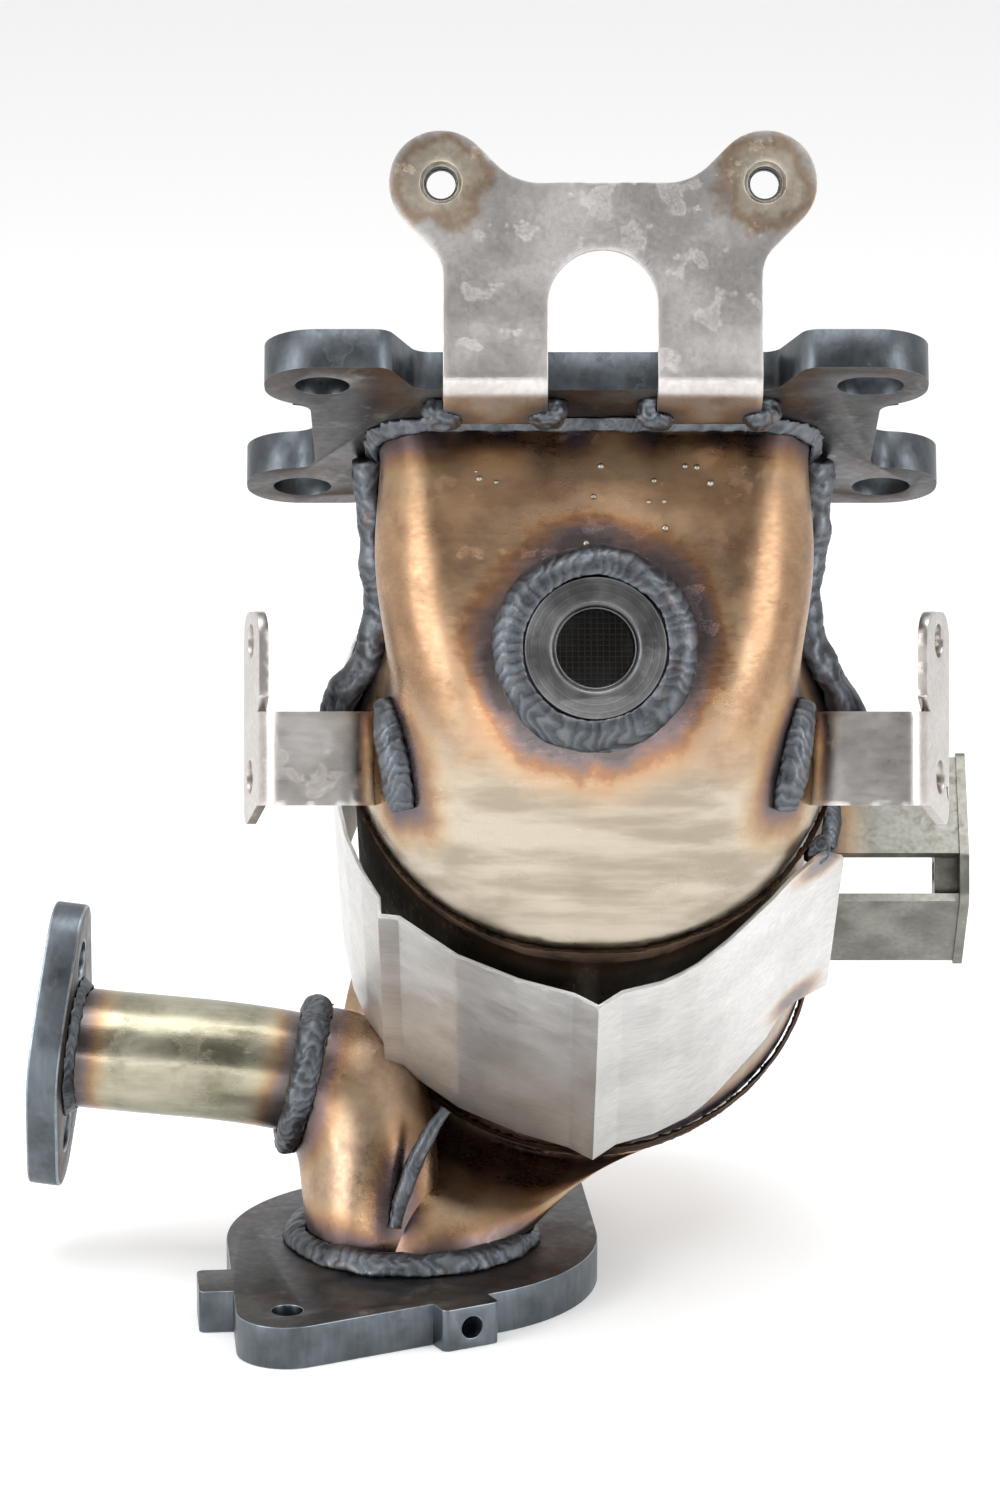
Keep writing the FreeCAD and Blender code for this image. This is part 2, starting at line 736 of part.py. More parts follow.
def make_side_flange():
    plate = lobed_plate("side_plate", moved(SIDE_FACE, 0, 0, -SIZE["side_flange_thickness"]),
                        SIZE["side_flange_disc_radius"], SIZE["side_flange_lobe_radius"],
                        SIZE["side_flange_length"] / 2 - SIZE["side_flange_lobe_radius"], 0.0,
                        "sizes.side_flange_thickness")
    half = SIZE["side_bolt_pitch"] / 2
    add_holes(plate, "XY_Plane", "side_bolt_holes", [(half, 0), (-half, 0)],
              "sizes.side_bolt_radius", "4 * sizes.side_flange_thickness")
    add_holes(plate, "XY_Plane", "side_bore", [(0, 0)],
              "sizes.side_pipe_radius - sizes.side_pipe_wall",
              "4 * sizes.side_flange_thickness")
    plate.Label = "side_flange"


def side_pipe_path():
    """The side pipe's middle line, from its flange to the outlet shell's neck."""
    start = SIDE_FACE.Base
    stop = NECK.Base
    reach = (stop - start).Length / 3
    return [start, start + direction(SIDE_FACE, AXIS_Z) * reach,
            stop - direction(NECK, AXIS_Z) * reach, stop]


def side_pipe_solid(radius):
    """A round bar along the side pipe's path."""
    curve = Part.BezierCurve()
    curve.setPoles(side_pipe_path())
    spine = Part.Wire(curve.toShape())
    profile = round_wire(SIDE_FACE, radius)
    sweep = Part.BRepOffsetAPI.MakePipeShell(spine)
    sweep.setFrenetMode(True)
    sweep.add(profile)
    sweep.build()
    sweep.makeSolid()
    return sweep.shape()


# ---------------------------------------------------------------- brackets

def make_top_bracket():
    half = SIZE["bracket_ear_pitch"] / 2
    ear = SIZE["bracket_ear_radius"]
    ear_up = SIZE["bracket_ear_up"]
    wide = SIZE["bracket_half_width"]
    slot = SIZE["bracket_slot_radius"]
    stand = SIZE["bracket_stand"]
    low = SIZE["bracket_low"]
    frame = moved(LEAN, SIZE["bracket_across"], 0, 0)
    profile = [(ear_up + ear + 4, stand, 0), (86.0, stand, 30.0), (72.2, stand + 2.4, 3.4),
               (66.9, 41.0, 0)]
    strip = padded("bracket_strip", frame, "YZ_Plane", ribbon(profile, SIZE["bracket_sheet"]),
                   "4 * sizes.bracket_half_width", True)
    arch = SIZE["bracket_slot_up"] + slot
    snub = ear * math.tan(math.pi / 8)
    reach = ear * math.sqrt(2)
    right = [
        (half - reach, ear_up, 12.0),
        (half - snub, ear_up + ear, ear * 0.99),
        (half + ear, ear_up + ear, ear * 0.99),
        (half + ear, ear_up - snub, ear * 0.99),
        (wide, ear_up - reach + wide - half, 8.0),
        (wide, low, 0.0),
        (slot, low, 0.0),
        (slot, arch, slot * 0.99),
    ]
    left = [(-x, y, radius) for x, y, radius in reversed(right)]
    face = padded("bracket_face", moved(frame, 0, 0, stand), "XY_Plane", right + left,
                  "16 * sizes.bracket_sheet", True)
    add_holes(face, "XY_Plane", "bracket_holes", [(half, ear_up), (-half, ear_up)],
              "sizes.bracket_hole_radius", "20 * sizes.bracket_sheet")
    return common("top_bracket_blank", [strip, face])


def make_weld_nut(label, side):
    """A hexagon weld nut on the back of the top bracket."""
    half = SIZE["bracket_ear_pitch"] / 2
    radius = SIZE["weld_nut_across"] / math.sqrt(3)
    corners = []
    for step in range(6):
        angle = math.radians(60 * step)
        corners.append((radius * math.cos(angle), radius * math.sin(angle), 0.0))
    back = SIZE["bracket_stand"] - SIZE["bracket_sheet"] / 2 - SIZE["weld_nut_height"]
    frame = moved(LEAN, SIZE["bracket_across"] + side * half, SIZE["bracket_ear_up"], back)
    nut = padded(label, frame, "XY_Plane", corners, "sizes.weld_nut_height")
    add_holes(nut, "XY_Plane", label + "_thread", [(0, 0)], "sizes.weld_nut_bore_radius",
              "4 * sizes.weld_nut_height")
    return nut


def make_ear(label, across, side, splay, reach):
    """An ear bracket: a strap on the dome's side and a two-hole plate turned away."""
    sheet_half = SIZE["ear_sheet"] / 2
    top = SIZE["ear_strap_top"]
    low = SIZE["ear_strap_bottom"]
    frame = moved(LEAN, across, 0, SIZE["ear_stand"])
    turn = math.radians(splay)
    bend = 4.0
    end = (side * SIZE["ear_plate_depth"] * math.sin(turn),
           -SIZE["ear_plate_depth"] * math.cos(turn), 0)
    line = [(-side * (reach + 4.0), -9.0, 0), (-side * (reach - 2.0), 0, 6.0), (0, 0, bend), end]
    strap = padded(label + "_strap", moved(frame, 0, (top + low) / 2, 0), "XZ_Plane",
                   ribbon(line, SIZE["ear_sheet"]), "sizes.ear_strap_top - sizes.ear_strap_bottom",
                   True)
    plate_frame = frame.multiply(
        FreeCAD.Placement(point(0, 0, 0), FreeCAD.Rotation(AXIS_Y, -side * splay)))
    depth = SIZE["ear_plate_depth"]
    start = bend + sheet_half
    corners = [(low, -start, 1.0), (top, -start, 1.0), (top + 3.0, -start + 3.0, 1.0),
               (SIZE["ear_plate_top"], -start + 3.0, 6.0), (SIZE["ear_plate_top"], -depth, 6.0),
               (SIZE["ear_plate_bottom"], -depth, 3.0)]
    plate = padded(label + "_plate", plate_frame, "YZ_Plane", corners, "sizes.ear_sheet", True)
    places = [(SIZE["ear_hole_upper"], -depth / 2 - 1.6), (SIZE["ear_hole_lower"], -depth / 2 - 3.0)]
    blank = fuse(label + "_sheet", [strap, plate])
    drills = []
    for index, (up, out) in enumerate(places, start=1):
        drill_frame = moved(plate_frame, -2 * SIZE["ear_sheet"], up, out).multiply(
            FreeCAD.Placement(point(0, 0, 0), FreeCAD.Rotation(AXIS_Y, 90)))
        drills.append(cylinder(label + "_drill_%d" % index, drill_frame,
                               "sizes.ear_hole_radius", "4 * sizes.ear_sheet"))
    return cut(label + "_drilled", blank, fuse(label + "_drills", drills))


def make_stay():
    sheet_size = SIZE["stay_sheet"]
    web = SIZE["stay_across"]
    start = SIZE["can_across"] + SIZE["can_radius"] * 0.86
    frame = moved(LEAN, start, 0, 0)
    upper_line = [(-2.0, -51.0, 0), (-22.6, -39.0, 0)]
    lower_line = [(-31.6, -39.0, 0), (-45.0, -60.0, 0)]
    strips = []
    for label, line in (("stay_upper", upper_line), ("stay_lower", lower_line)):
        strips.append(padded(label, frame, "YZ_Plane", ribbon(line, sheet_size),
                             "sizes.stay_across"))
    box = padded("stay_span", moved(LEAN, 0, -20, -50), "XY_Plane",
                 [(start, -40, 0), (web - 1.0, -40, 0), (web - 1.0, 40, 0), (start, 40, 0)],
                 "40 * sizes.stay_sheet", True)
    flanges = common("stay_flanges", [fuse("stay_strips", strips), box])
    web_corners = [(0.2, -50.4, 2.0), (-22.6, -36.4, 3.0), (-32.4, -36.4, 3.0),
                   (-47.4, -60.0, 2.0), (-40.0, -64.0, 3.0), (-8.0, -62.0, 3.0)]
    side = padded("stay_web", moved(LEAN, web - sheet_size, 0, 0), "YZ_Plane", web_corners,
                  "sizes.stay_sheet")
    add_holes(side, "YZ_Plane", "stay_web_hole",
              [(SIZE["stay_nut_up"], SIZE["stay_nut_stand"])],
              "sizes.stay_nut_bore_radius + 0.6", "4 * sizes.stay_sheet")
    return fuse("stay_blank", [flanges, side])


# ---------------------------------------------------------------- assembly

make_can()

dome_outer = Part.makeLoft(dome_sections(0), True, False)
dome_inner = Part.makeLoft(dome_sections(SIZE["dome_wall"]), True, False)
outlet_outer = outlet_shells(0)
outlet_inner = outlet_shells(SIZE["outlet_wall"])
can_solid = Part.makeCylinder(SIZE["can_radius"], SIZE["can_length"])
can_solid.Placement = CAN

inlet_flange = make_inlet_flange(dome_sections(SIZE["dome_wall"])[0])
outlet_flange = make_outlet_flange()
make_side_flange()
doc.recompute()

# sensor bung, pushed through the front shell
bung_frame = moved(BUNG, 0, 0, -SIZE["bung_length"])
bung_body = cylinder("bung_body", bung_frame, "sizes.bung_radius", "sizes.bung_length")
bung_bore = cylinder("bung_bore", moved(bung_frame, 0, 0, -1), "sizes.bung_bore_radius",
                     "sizes.bung_length + 2")
bung_drilled = cut("bung_drilled", bung_body, bung_bore)
bung_chamfer = doc.addObject("Part::Cone", "bung_chamfer")
bung_chamfer.setExpression("Radius1", "sizes.bung_bore_radius")
bung_chamfer.setExpression("Radius2", "sizes.bung_bore_radius + 2 * sizes.bung_chamfer")
bung_chamfer.setExpression("Height", "2 * sizes.bung_chamfer")
bung_chamfer.Placement = moved(BUNG, 0, 0, -SIZE["bung_chamfer"])
cut("sensor_bung", bung_drilled, bung_chamfer)
bung_hole = Part.makeCylinder(SIZE["bung_radius"] + SNUG, 4 * SIZE["bung_length"])
bung_hole.Placement = moved(BUNG, 0, 0, -2 * SIZE["bung_length"])

dome_shell = dome_outer.cut(dome_inner)
front_block = front_half()
feature("front_shell", largest(dome_shell.common(front_block).cut(bung_hole)))
feature("back_shell", largest(dome_shell.cut(front_block)))

# outlet shell: two lofts joined, hollow, with the crease between its two lobes
outlet_skin = outlet_outer[0].fuse(outlet_outer[1:]).cut(can_solid)
outlet_hollow = outlet_skin
for void in outlet_inner:
    outlet_hollow = outlet_hollow.cut(void)
feature("outlet_shell", largest(outlet_hollow))

feature("side_pipe", side_pipe_solid(SIZE["side_pipe_radius"]).cut(
    side_pipe_solid(SIZE["side_pipe_radius"] - SIZE["side_pipe_wall"])))
side_pipe_bar = side_pipe_solid(SIZE["side_pipe_radius"])
outlet_body = feature("outlet_body", outlet_skin)
heat_shield = cut("heat_shield", make_shield(), outlet_body)
doc.recompute()

flange_shape = inlet_flange.Shape
outlet_flange_shape = outlet_flange.Shape
shield_shape = heat_shield.Shape
solid_core = [dome_outer, can_solid, outlet_skin, side_pipe_bar]


def trimmed(shape, others):
    """The shape less its neighbours, as its biggest solid."""
    for other in others:
        if shape.BoundBox.intersect(other.BoundBox):
            shape = shape.cut(other)
    return largest(shape)


# ring welds
can_top = moved(CAN, 0, 0, SIZE["can_length"])
can_top_weld = feature("can_top_weld", trimmed(
    bead_ring(can_top, SIZE["can_radius"] - 0.2, SIZE["ring_weld_radius"]),
    solid_core + [shield_shape]))
can_bottom_weld = feature("can_bottom_weld", trimmed(
    bead_ring(CAN, SIZE["can_radius"] - 0.2, SIZE["ring_weld_radius"]),
    solid_core + [shield_shape]))

# side seam welds down both sides of the dome
seam_welds = []
for label, side in (("left_seam_weld", -1), ("right_seam_weld", 1)):
    bead = bead_along(seam_points(side), SIZE["seam_weld_radius"])
    seam_welds.append(feature(label, trimmed(
        bead, solid_core + [flange_shape, can_top_weld.Shape, shield_shape])))
seam_shapes = [item.Shape for item in seam_welds]

# weld between the dome and the inlet flange
port_middle = INLET.multVec(point(0, (SIZE["port_front_in"] + SIZE["port_rear_in"]) / 2, 0))
port_depth = (SIZE["port_rear_in"] - SIZE["port_front_in"]) / 2
port_fillet = []
for drop, spread in ((0.0, SIZE["flange_weld_radius"]), (SIZE["flange_weld_radius"], 0.6)):
    port_frame = facing(port_middle - direction(INLET, AXIS_Z) * drop,
                        direction(INLET, AXIS_Z), AXIS_X)
    port_fillet.append(soft_box(port_frame, SIZE["port_half_width"] + spread,
                                port_depth + spread, 11.0 + spread))
inlet_flange_weld = feature("inlet_flange_weld", trimmed(
    Part.makeLoft(port_fillet, True, True), solid_core + seam_shapes))

# weld round the sensor bung
bung_bar = Part.makeCylinder(SIZE["bung_radius"], SIZE["bung_length"])
bung_bar.Placement = bung_frame
feature("sensor_bung_weld", trimmed(
    bead_ring(moved(BUNG, 0, 0, -SIZE["bung_weld_set_back"]), SIZE["bung_weld_ring"],
              SIZE["bung_weld_radius"]), [dome_outer, bung_bar]))

# outlet flange, side neck and side flange welds
outlet_top = FreeCAD.Placement(point(0, 0, SIZE["outlet_thickness"]), FreeCAD.Rotation())
outlet_flange_weld = feature("outlet_flange_weld", trimmed(
    bead_ring(outlet_top, SIZE["outlet_tube_radius"] + 0.6, SIZE["outlet_weld_radius"]),
    solid_core + [outlet_flange_shape]))
feature("side_pipe_weld", trimmed(
    bead_ring(NECK, SIZE["side_pipe_radius"] + 1.2, SIZE["side_weld_radius"]), solid_core))
side_fillet = Part.makeCone(SIZE["side_pipe_radius"] + SIZE["side_flange_weld_radius"],
                            SIZE["side_pipe_radius"] + 0.4, SIZE["side_flange_weld_radius"])
side_fillet.Placement = SIDE_FACE
feature("side_flange_weld", trimmed(side_fillet, [side_pipe_bar]))

# crease weld between the outlet shell's lobes
crease = [point(8.0, -11.0, 43.0), point(3.0, -14.5, 36.0), point(-1.0, -16.4, 27.0),
          point(-3.6, -17.6, 17.0)]
feature("outlet_seam_weld", trimmed(
    bead_along(crease, SIZE["crease_weld_radius"]), solid_core + [outlet_flange_weld.Shape]))

# brackets: each sheet is trimmed by what it is welded to
weld_body = feature("weld_body", Part.makeCompound(
    [dome_outer, can_solid, outlet_skin, can_top_weld.Shape, can_bottom_weld.Shape,
     inlet_flange_weld.Shape, flange_shape] + seam_shapes))
top_bracket = cut("top_bracket", make_top_bracket(), weld_body)
make_weld_nut("weld_nut_left", -1)
make_weld_nut("weld_nut_right", 1)
left_blank = make_ear("left_ear", SIZE["left_ear_across"], -1, SIZE["left_ear_splay"],
                      SIZE["ear_strap_reach"])
right_blank = make_ear("right_ear", SIZE["right_ear_across"], 1, SIZE["right_ear_splay"],
                       SIZE["ear_strap_reach"])
left_ear_bracket = cut("left_ear_bracket", left_blank, weld_body)
right_ear_bracket = cut("right_ear_bracket", right_blank, weld_body)
stay_body = feature("stay_body", Part.makeCompound([can_solid, shield_shape, outlet_skin]))
stay_bracket = cut("stay_bracket", make_stay(), stay_body)
doc.recompute()

# weld nut inside the stay bracket's web
nut_half = SIZE["stay_nut_across"] / 2
stay_nut_frame = moved(LEAN, SIZE["stay_across"] - SIZE["stay_sheet"] - SIZE["stay_nut_height"],
                       SIZE["stay_nut_up"], SIZE["stay_nut_stand"])
stay_nut = padded("stay_nut", stay_nut_frame, "YZ_Plane",
                  [(-nut_half, -nut_half, 1), (nut_half, -nut_half, 1), (nut_half, nut_half, 1),
                   (-nut_half, nut_half, 1)], "sizes.stay_nut_height")
add_holes(stay_nut, "YZ_Plane", "stay_nut_thread", [(0, 0)], "sizes.stay_nut_bore_radius",
          "4 * sizes.stay_nut_height")
doc.recompute()

# small welds that hold the brackets and the shield
def dome_surface(across, up):
    """The dome's outer face seen along the leaning axes."""
    line = Part.makeLine(LEAN.multVec(point(across, up, 200)), LEAN.multVec(point(across, up, -60)))
    hits = dome_outer.common(line).Vertexes
    return max((hit.Point for hit in hits), key=lambda place: LEAN.inverse().multVec(place).z)


ear_welds = []
for label, side, bracket in (("left_ear_weld", -1, left_ear_bracket),
                             ("right_ear_weld", 1, right_ear_bracket)):
    foot = SIZE["can_across"] + side * (SIZE["can_radius"] - 10.4)
    rows = ((2.6, 9.5), (1.2, 3.0), (0.0, -4.0), (-1.2, -12.0))
    path = [dome_surface(foot + side * shift, up) for shift, up in rows]
    ear_welds.append(feature(label, trimmed(
        bead_along(path, SIZE["ear_foot_weld_radius"]),
        [dome_outer, can_solid, can_top_weld.Shape, bracket.Shape] + seam_shapes)))

leg_sides = (-SIZE["bracket_half_width"], -SIZE["bracket_slot_radius"],
             SIZE["bracket_slot_radius"], SIZE["bracket_half_width"])
bracket_tacks = []
for index, x in enumerate(leg_sides):
    spot = LEAN.multVec(point(SIZE["bracket_across"] + x, 68.6, 44.0))
    ball = Part.makeSphere(SIZE["bracket_tack_radius"], spot)
    bracket_tacks.append(feature("bracket_tack_%d" % (index + 1), trimmed(
        ball, [flange_shape, dome_outer, inlet_flange_weld.Shape, top_bracket.Shape])))

stay_side = SIZE["can_across"] + SIZE["can_radius"]
stay_path = [LEAN.multVec(point(stay_side - 1.5, -4.0, -43.5)),
             LEAN.multVec(point(stay_side + 0.4, -13.0, -37.5)),
             LEAN.multVec(point(stay_side - 0.2, -21.5, -33.0))]
stay_weld = feature("stay_weld", trimmed(
    bead_along(stay_path, SIZE["stay_weld_radius"]),
    [can_solid, stay_bracket.Shape, shield_shape]))

shield_spots = (("shield_tack_upper", 46.0, -27.0, 119.0, 1.0),
                ("shield_tack_lower", 42.6, -29.6, 46.0, 0.9),
                ("shield_tack_back_upper", -19.4, 48.2, 100.0, 0.8),
                ("shield_tack_back_lower", -19.4, 48.2, 40.0, 0.8))
shield_tacks = []
for label, x, y, z, share in shield_spots:
    spot = CAN.multVec(point(x, y, z))
    ball = Part.makeSphere(SIZE["shield_tack_radius"] * share, spot)
    shield_tacks.append(feature(label, trimmed(
        ball, [can_solid, dome_outer, can_top_weld.Shape, shield_shape, stay_weld.Shape,
               right_ear_bracket.Shape])))
doc.recompute()

PARTS = ["can_shell", "support_mat", "catalyst_brick", "inlet_flange", "outlet_flange",
         "side_flange", "heat_shield", "sensor_bung", "front_shell", "back_shell",
         "outlet_shell", "side_pipe", "can_top_weld", "can_bottom_weld", "left_seam_weld",
         "right_seam_weld", "inlet_flange_weld", "sensor_bung_weld", "outlet_flange_weld",
         "side_pipe_weld", "side_flange_weld", "outlet_seam_weld", "top_bracket",
         "weld_nut_left", "weld_nut_right", "left_ear_bracket", "right_ear_bracket",
         "stay_bracket", "stay_nut", "left_ear_weld", "right_ear_weld", "stay_weld"]
PARTS += [item.Label for item in bracket_tacks + shield_tacks]

for item in doc.Objects:
    states = item.State
    if "Invalid" in states or "Error" in states:
        raise RuntimeError("%s does not recompute: %s" % (item.Label, states))

for label in PARTS:
    item = doc.getObjectsByLabel(label)[0]
    shape = item.Shape
    if shape.isNull() or not shape.isValid() or len(shape.Solids) != 1:
        raise RuntimeError("%s has a bad shape: %d solids" % (label, len(shape.Solids)))
    shape.exportStep("parts/%s.step" % label)
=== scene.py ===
"""Close-coupled catalytic converter: finishes, weld beads, threads and spatter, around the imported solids."""
import math

import bmesh
import bpy
import numpy as np
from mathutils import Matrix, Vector, kdtree


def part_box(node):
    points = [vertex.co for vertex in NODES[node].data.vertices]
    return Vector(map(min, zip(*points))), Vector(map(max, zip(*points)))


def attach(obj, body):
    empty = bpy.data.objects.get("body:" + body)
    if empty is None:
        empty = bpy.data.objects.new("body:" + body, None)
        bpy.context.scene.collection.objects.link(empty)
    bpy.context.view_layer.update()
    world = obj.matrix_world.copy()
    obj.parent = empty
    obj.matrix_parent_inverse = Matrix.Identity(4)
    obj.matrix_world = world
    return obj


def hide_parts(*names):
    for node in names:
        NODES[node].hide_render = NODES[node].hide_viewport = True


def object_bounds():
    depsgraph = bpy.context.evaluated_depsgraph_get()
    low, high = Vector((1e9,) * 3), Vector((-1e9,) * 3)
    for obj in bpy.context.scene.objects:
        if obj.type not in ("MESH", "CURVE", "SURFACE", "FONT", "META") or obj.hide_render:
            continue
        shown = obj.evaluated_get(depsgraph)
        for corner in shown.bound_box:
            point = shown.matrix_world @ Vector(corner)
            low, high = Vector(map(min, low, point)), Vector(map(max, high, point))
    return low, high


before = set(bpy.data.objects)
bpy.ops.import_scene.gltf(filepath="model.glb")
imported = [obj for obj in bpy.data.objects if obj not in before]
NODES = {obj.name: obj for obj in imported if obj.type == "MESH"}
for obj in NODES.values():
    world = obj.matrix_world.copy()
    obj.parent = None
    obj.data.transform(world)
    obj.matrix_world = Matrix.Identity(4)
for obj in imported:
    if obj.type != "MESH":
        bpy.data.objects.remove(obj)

CAD_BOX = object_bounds()
MM = 0.001

# The frames that the part is built on: a place, and a turn about the X axis.
LEAN_PLACE, LEAN_TURN = Vector((0, -49.46, 133.9)) * MM, math.radians(75)
CAN_PLACE, CAN_TURN = Vector((38.7, 46.2, 64.3)) * MM, math.radians(52)
BUNG_PLACE = Vector((38.7, -90.3, 166)) * MM
# The leaning frame's own Z and Y axes: out of the dome's face, and up along it.
LEAN_OUT = Vector((0, -math.sin(LEAN_TURN), math.cos(LEAN_TURN)))
LEAN_UP = Vector((0, math.cos(LEAN_TURN), math.sin(LEAN_TURN)))

MERGE = 0.002 * MM
SLIVER = 0.03 * MM
FLAT = math.radians(0.6)
CREASE = math.radians(34)
REFINE_PASSES = 6

# How squarely a plate's face looks along the plate's axis, as a cosine: on its flat side, and on its edge.
FACE_ON, EDGE_ON = 0.985, 0.2

WELDS = [name for name in NODES if name.endswith("_weld") or "_tack" in name]


def srgb(red, green, blue):
    """A colour written in 0 to 255, as the linear colour that a shader takes."""
    def linear(value):
        value /= 255
        return value / 12.92 if value <= 0.04045 else ((value + 0.055) / 1.055) ** 2.4
    return (linear(red), linear(green), linear(blue), 1)


# ---------------------------------------------------------------- nodes


class Web:
    """Adds nodes to a tree and joins them up."""

    def __init__(self, tree):
        self.tree = tree

    def node(self, kind, inputs=None, **settings):
        made = self.tree.nodes.new(kind)
        for key, value in settings.items():
            setattr(made, key, value)
        for key, value in (inputs or {}).items():
            self.feed(made.inputs[key], value)
        return made

    def feed(self, socket, value):
        if isinstance(value, bpy.types.NodeSocket):
            self.tree.links.new(value, socket)
        else:
            socket.default_value = value

    def math(self, operation, *values, clamp=False):
        made = self.node("ShaderNodeMath", operation=operation, use_clamp=clamp)
        for socket, value in zip(made.inputs, values):
            self.feed(socket, value)
        return made.outputs[0]

    def vector(self, operation, *values, out=0):
        made = self.node("ShaderNodeVectorMath", operation=operation)
        for socket, value in zip(made.inputs, values):
            self.feed(socket, value)
        return made.outputs[out]

    def scaled(self, vector, factor):
        made = self.node("ShaderNodeVectorMath", {"Scale": factor}, operation="SCALE")
        self.feed(made.inputs[0], vector)
        return made.outputs[0]

    def noise(self, place, scale, detail=3.0, roughness=0.55):
        inputs = {"Vector": place, "Scale": scale, "Detail": detail, "Roughness": roughness}
        return self.node("ShaderNodeTexNoise", inputs).outputs[0]

    def sway(self, place, scale, detail=3.0, roughness=0.55, reach=1.0):
        """Noise about zero, as far as a reach to either side at most."""
        noise = self.noise(place, scale, detail, roughness)
        return self.math("MULTIPLY", self.math("SUBTRACT", noise, 0.5), reach)

    def times(self, first, second):
        return self.math("MULTIPLY", first, second)

    def between(self, value, low, high, to_low=0.0, to_high=1.0, soft=True):
        """A value brought from one range to another, and held inside it."""
        kind = "SMOOTHSTEP" if soft else "LINEAR"
        inputs = {"Value": value, "From Min": low, "From Max": high, "To Min": to_low, "To Max": to_high}
        return self.node("ShaderNodeMapRange", inputs, interpolation_type=kind).outputs[0]

    def mix(self, amount, first, second, blend="MIX"):
        made = self.node("ShaderNodeMix", data_type="RGBA", blend_type=blend)
        self.feed(made.inputs[0], amount)
        self.feed(made.inputs[6], first)
        self.feed(made.inputs[7], second)
        return made.outputs[2]

    def ramp(self, value, stops):
        """Colours along a value, from (place, colour) stops."""
        made = self.node("ShaderNodeValToRGB", {"Fac": value})
        points = made.color_ramp.elements
        while len(points) < len(stops):
            points.new(1.0)
        for point, (place, colour) in zip(points, stops):
            point.position = place
            point.color = colour
        return made.outputs[0]

    def group(self, tree, **inputs):
        kind = "GeometryNodeGroup" if self.tree.bl_idname == "GeometryNodeTree" else "ShaderNodeGroup"
        made = self.node(kind)
        made.node_tree = tree
        for key, value in inputs.items():
            self.feed(made.inputs[key.replace("_", " ")], value)
        return made.outputs


SOCKETS = {
    "float": "NodeSocketFloat", "int": "NodeSocketInt", "vector": "NodeSocketVector",
    "color": "NodeSocketColor", "geometry": "NodeSocketGeometry", "material": "NodeSocketMaterial",
}


def new_tree(name, kind, inputs, outputs):
    """A node group with named sockets; gives its web, its input sockets by name, and its output node."""
    tree = bpy.data.node_groups.new(name, kind)
    for key, (form, value) in inputs.items():
        socket = tree.interface.new_socket(key, in_out="INPUT", socket_type=SOCKETS[form])
        if value is not None:
            socket.default_value = value
    for key, form in outputs.items():
        tree.interface.new_socket(key, in_out="OUTPUT", socket_type=SOCKETS[form])
    web = Web(tree)
    return web, web.node("NodeGroupInput").outputs, web.node("NodeGroupOutput").inputs


def finish_tree(web, socket, shape, finish):
    """Ends a Geometry Nodes tree in real mesh with its material on it."""
    real = web.node("GeometryNodeRealizeInstances", {"Geometry": shape}).outputs[0]
    web.feed(socket, web.node("GeometryNodeSetMaterial", {"Geometry": real, "Material": finish}).outputs[0])
    return web.tree


# ---------------------------------------------------------------- shared effects


def make_grain():
    """Rolled and rubbed steel: fine streaks, broad cloudiness, and thin scratches."""
    web, given, out = new_tree("steel_grain", "ShaderNodeTree", {
        "Place": ("vector", None), "Stretch": ("vector", (1, 1, 1)),
        "Fine": ("float", 900.0), "Broad": ("float", 60.0),
    }, {"Streaks": "float", "Clouds": "float", "Scratches": "float"})
    drawn = web.vector("MULTIPLY", given["Place"], given["Stretch"])
    web.feed(out["Streaks"], web.noise(drawn, given["Fine"], 4.0, 0.6))
    web.feed(out["Clouds"], web.between(web.noise(given["Place"], given["Broad"], 5.0, 0.6), 0.3, 0.7))
    swirl = web.node("ShaderNodeTexNoise", {"Vector": given["Place"], "Scale": 90.0}).outputs["Color"]
    bent = web.vector("ADD", drawn, swirl)
    cells = {"Vector": bent, "Scale": web.times(given["Fine"], 0.16)}
    cracks = web.node("ShaderNodeTexVoronoi", cells, feature="DISTANCE_TO_EDGE").outputs[0]
    thin = web.between(cracks, 0.0, 0.035, 1.0, 0.0)
    some = web.between(web.noise(given["Place"], web.times(given["Broad"], 2.3)), 0.56, 0.68)
    web.feed(out["Scratches"], web.times(thin, some))
    return web.tree


def make_heat():
    """The colours that steel takes near a weld, by the distance from it."""
    web, given, out = new_tree("heat_tint", "ShaderNodeTree", {
        "Bare": ("color", (0.6, 0.6, 0.6, 1)), "Distance": ("float", 1.0), "Reach": ("float", 0.03),
        "Place": ("vector", None), "Strength": ("float", 1.0),
    }, {"Color": "color"})
    share = web.math("DIVIDE", given["Distance"], given["Reach"])
    share = web.math("ADD", share, web.sway(given["Place"], 120.0, 4.0, 0.6, reach=0.45), clamp=True)
    tint = web.ramp(share, [
        (0.0, srgb(70, 66, 70)), (0.10, srgb(92, 80, 90)), (0.22, srgb(120, 94, 86)),
        (0.38, srgb(150, 114, 84)), (0.58, srgb(182, 150, 112)), (0.80, srgb(198, 176, 146)),
        (1.0, srgb(200, 190, 172))])
    amount = web.math("MULTIPLY", web.between(share, 0.25, 1.0, 1.0, 0.0), given["Strength"], clamp=True)
    web.feed(out["Color"], web.mix(amount, given["Bare"], tint))
    return web.tree


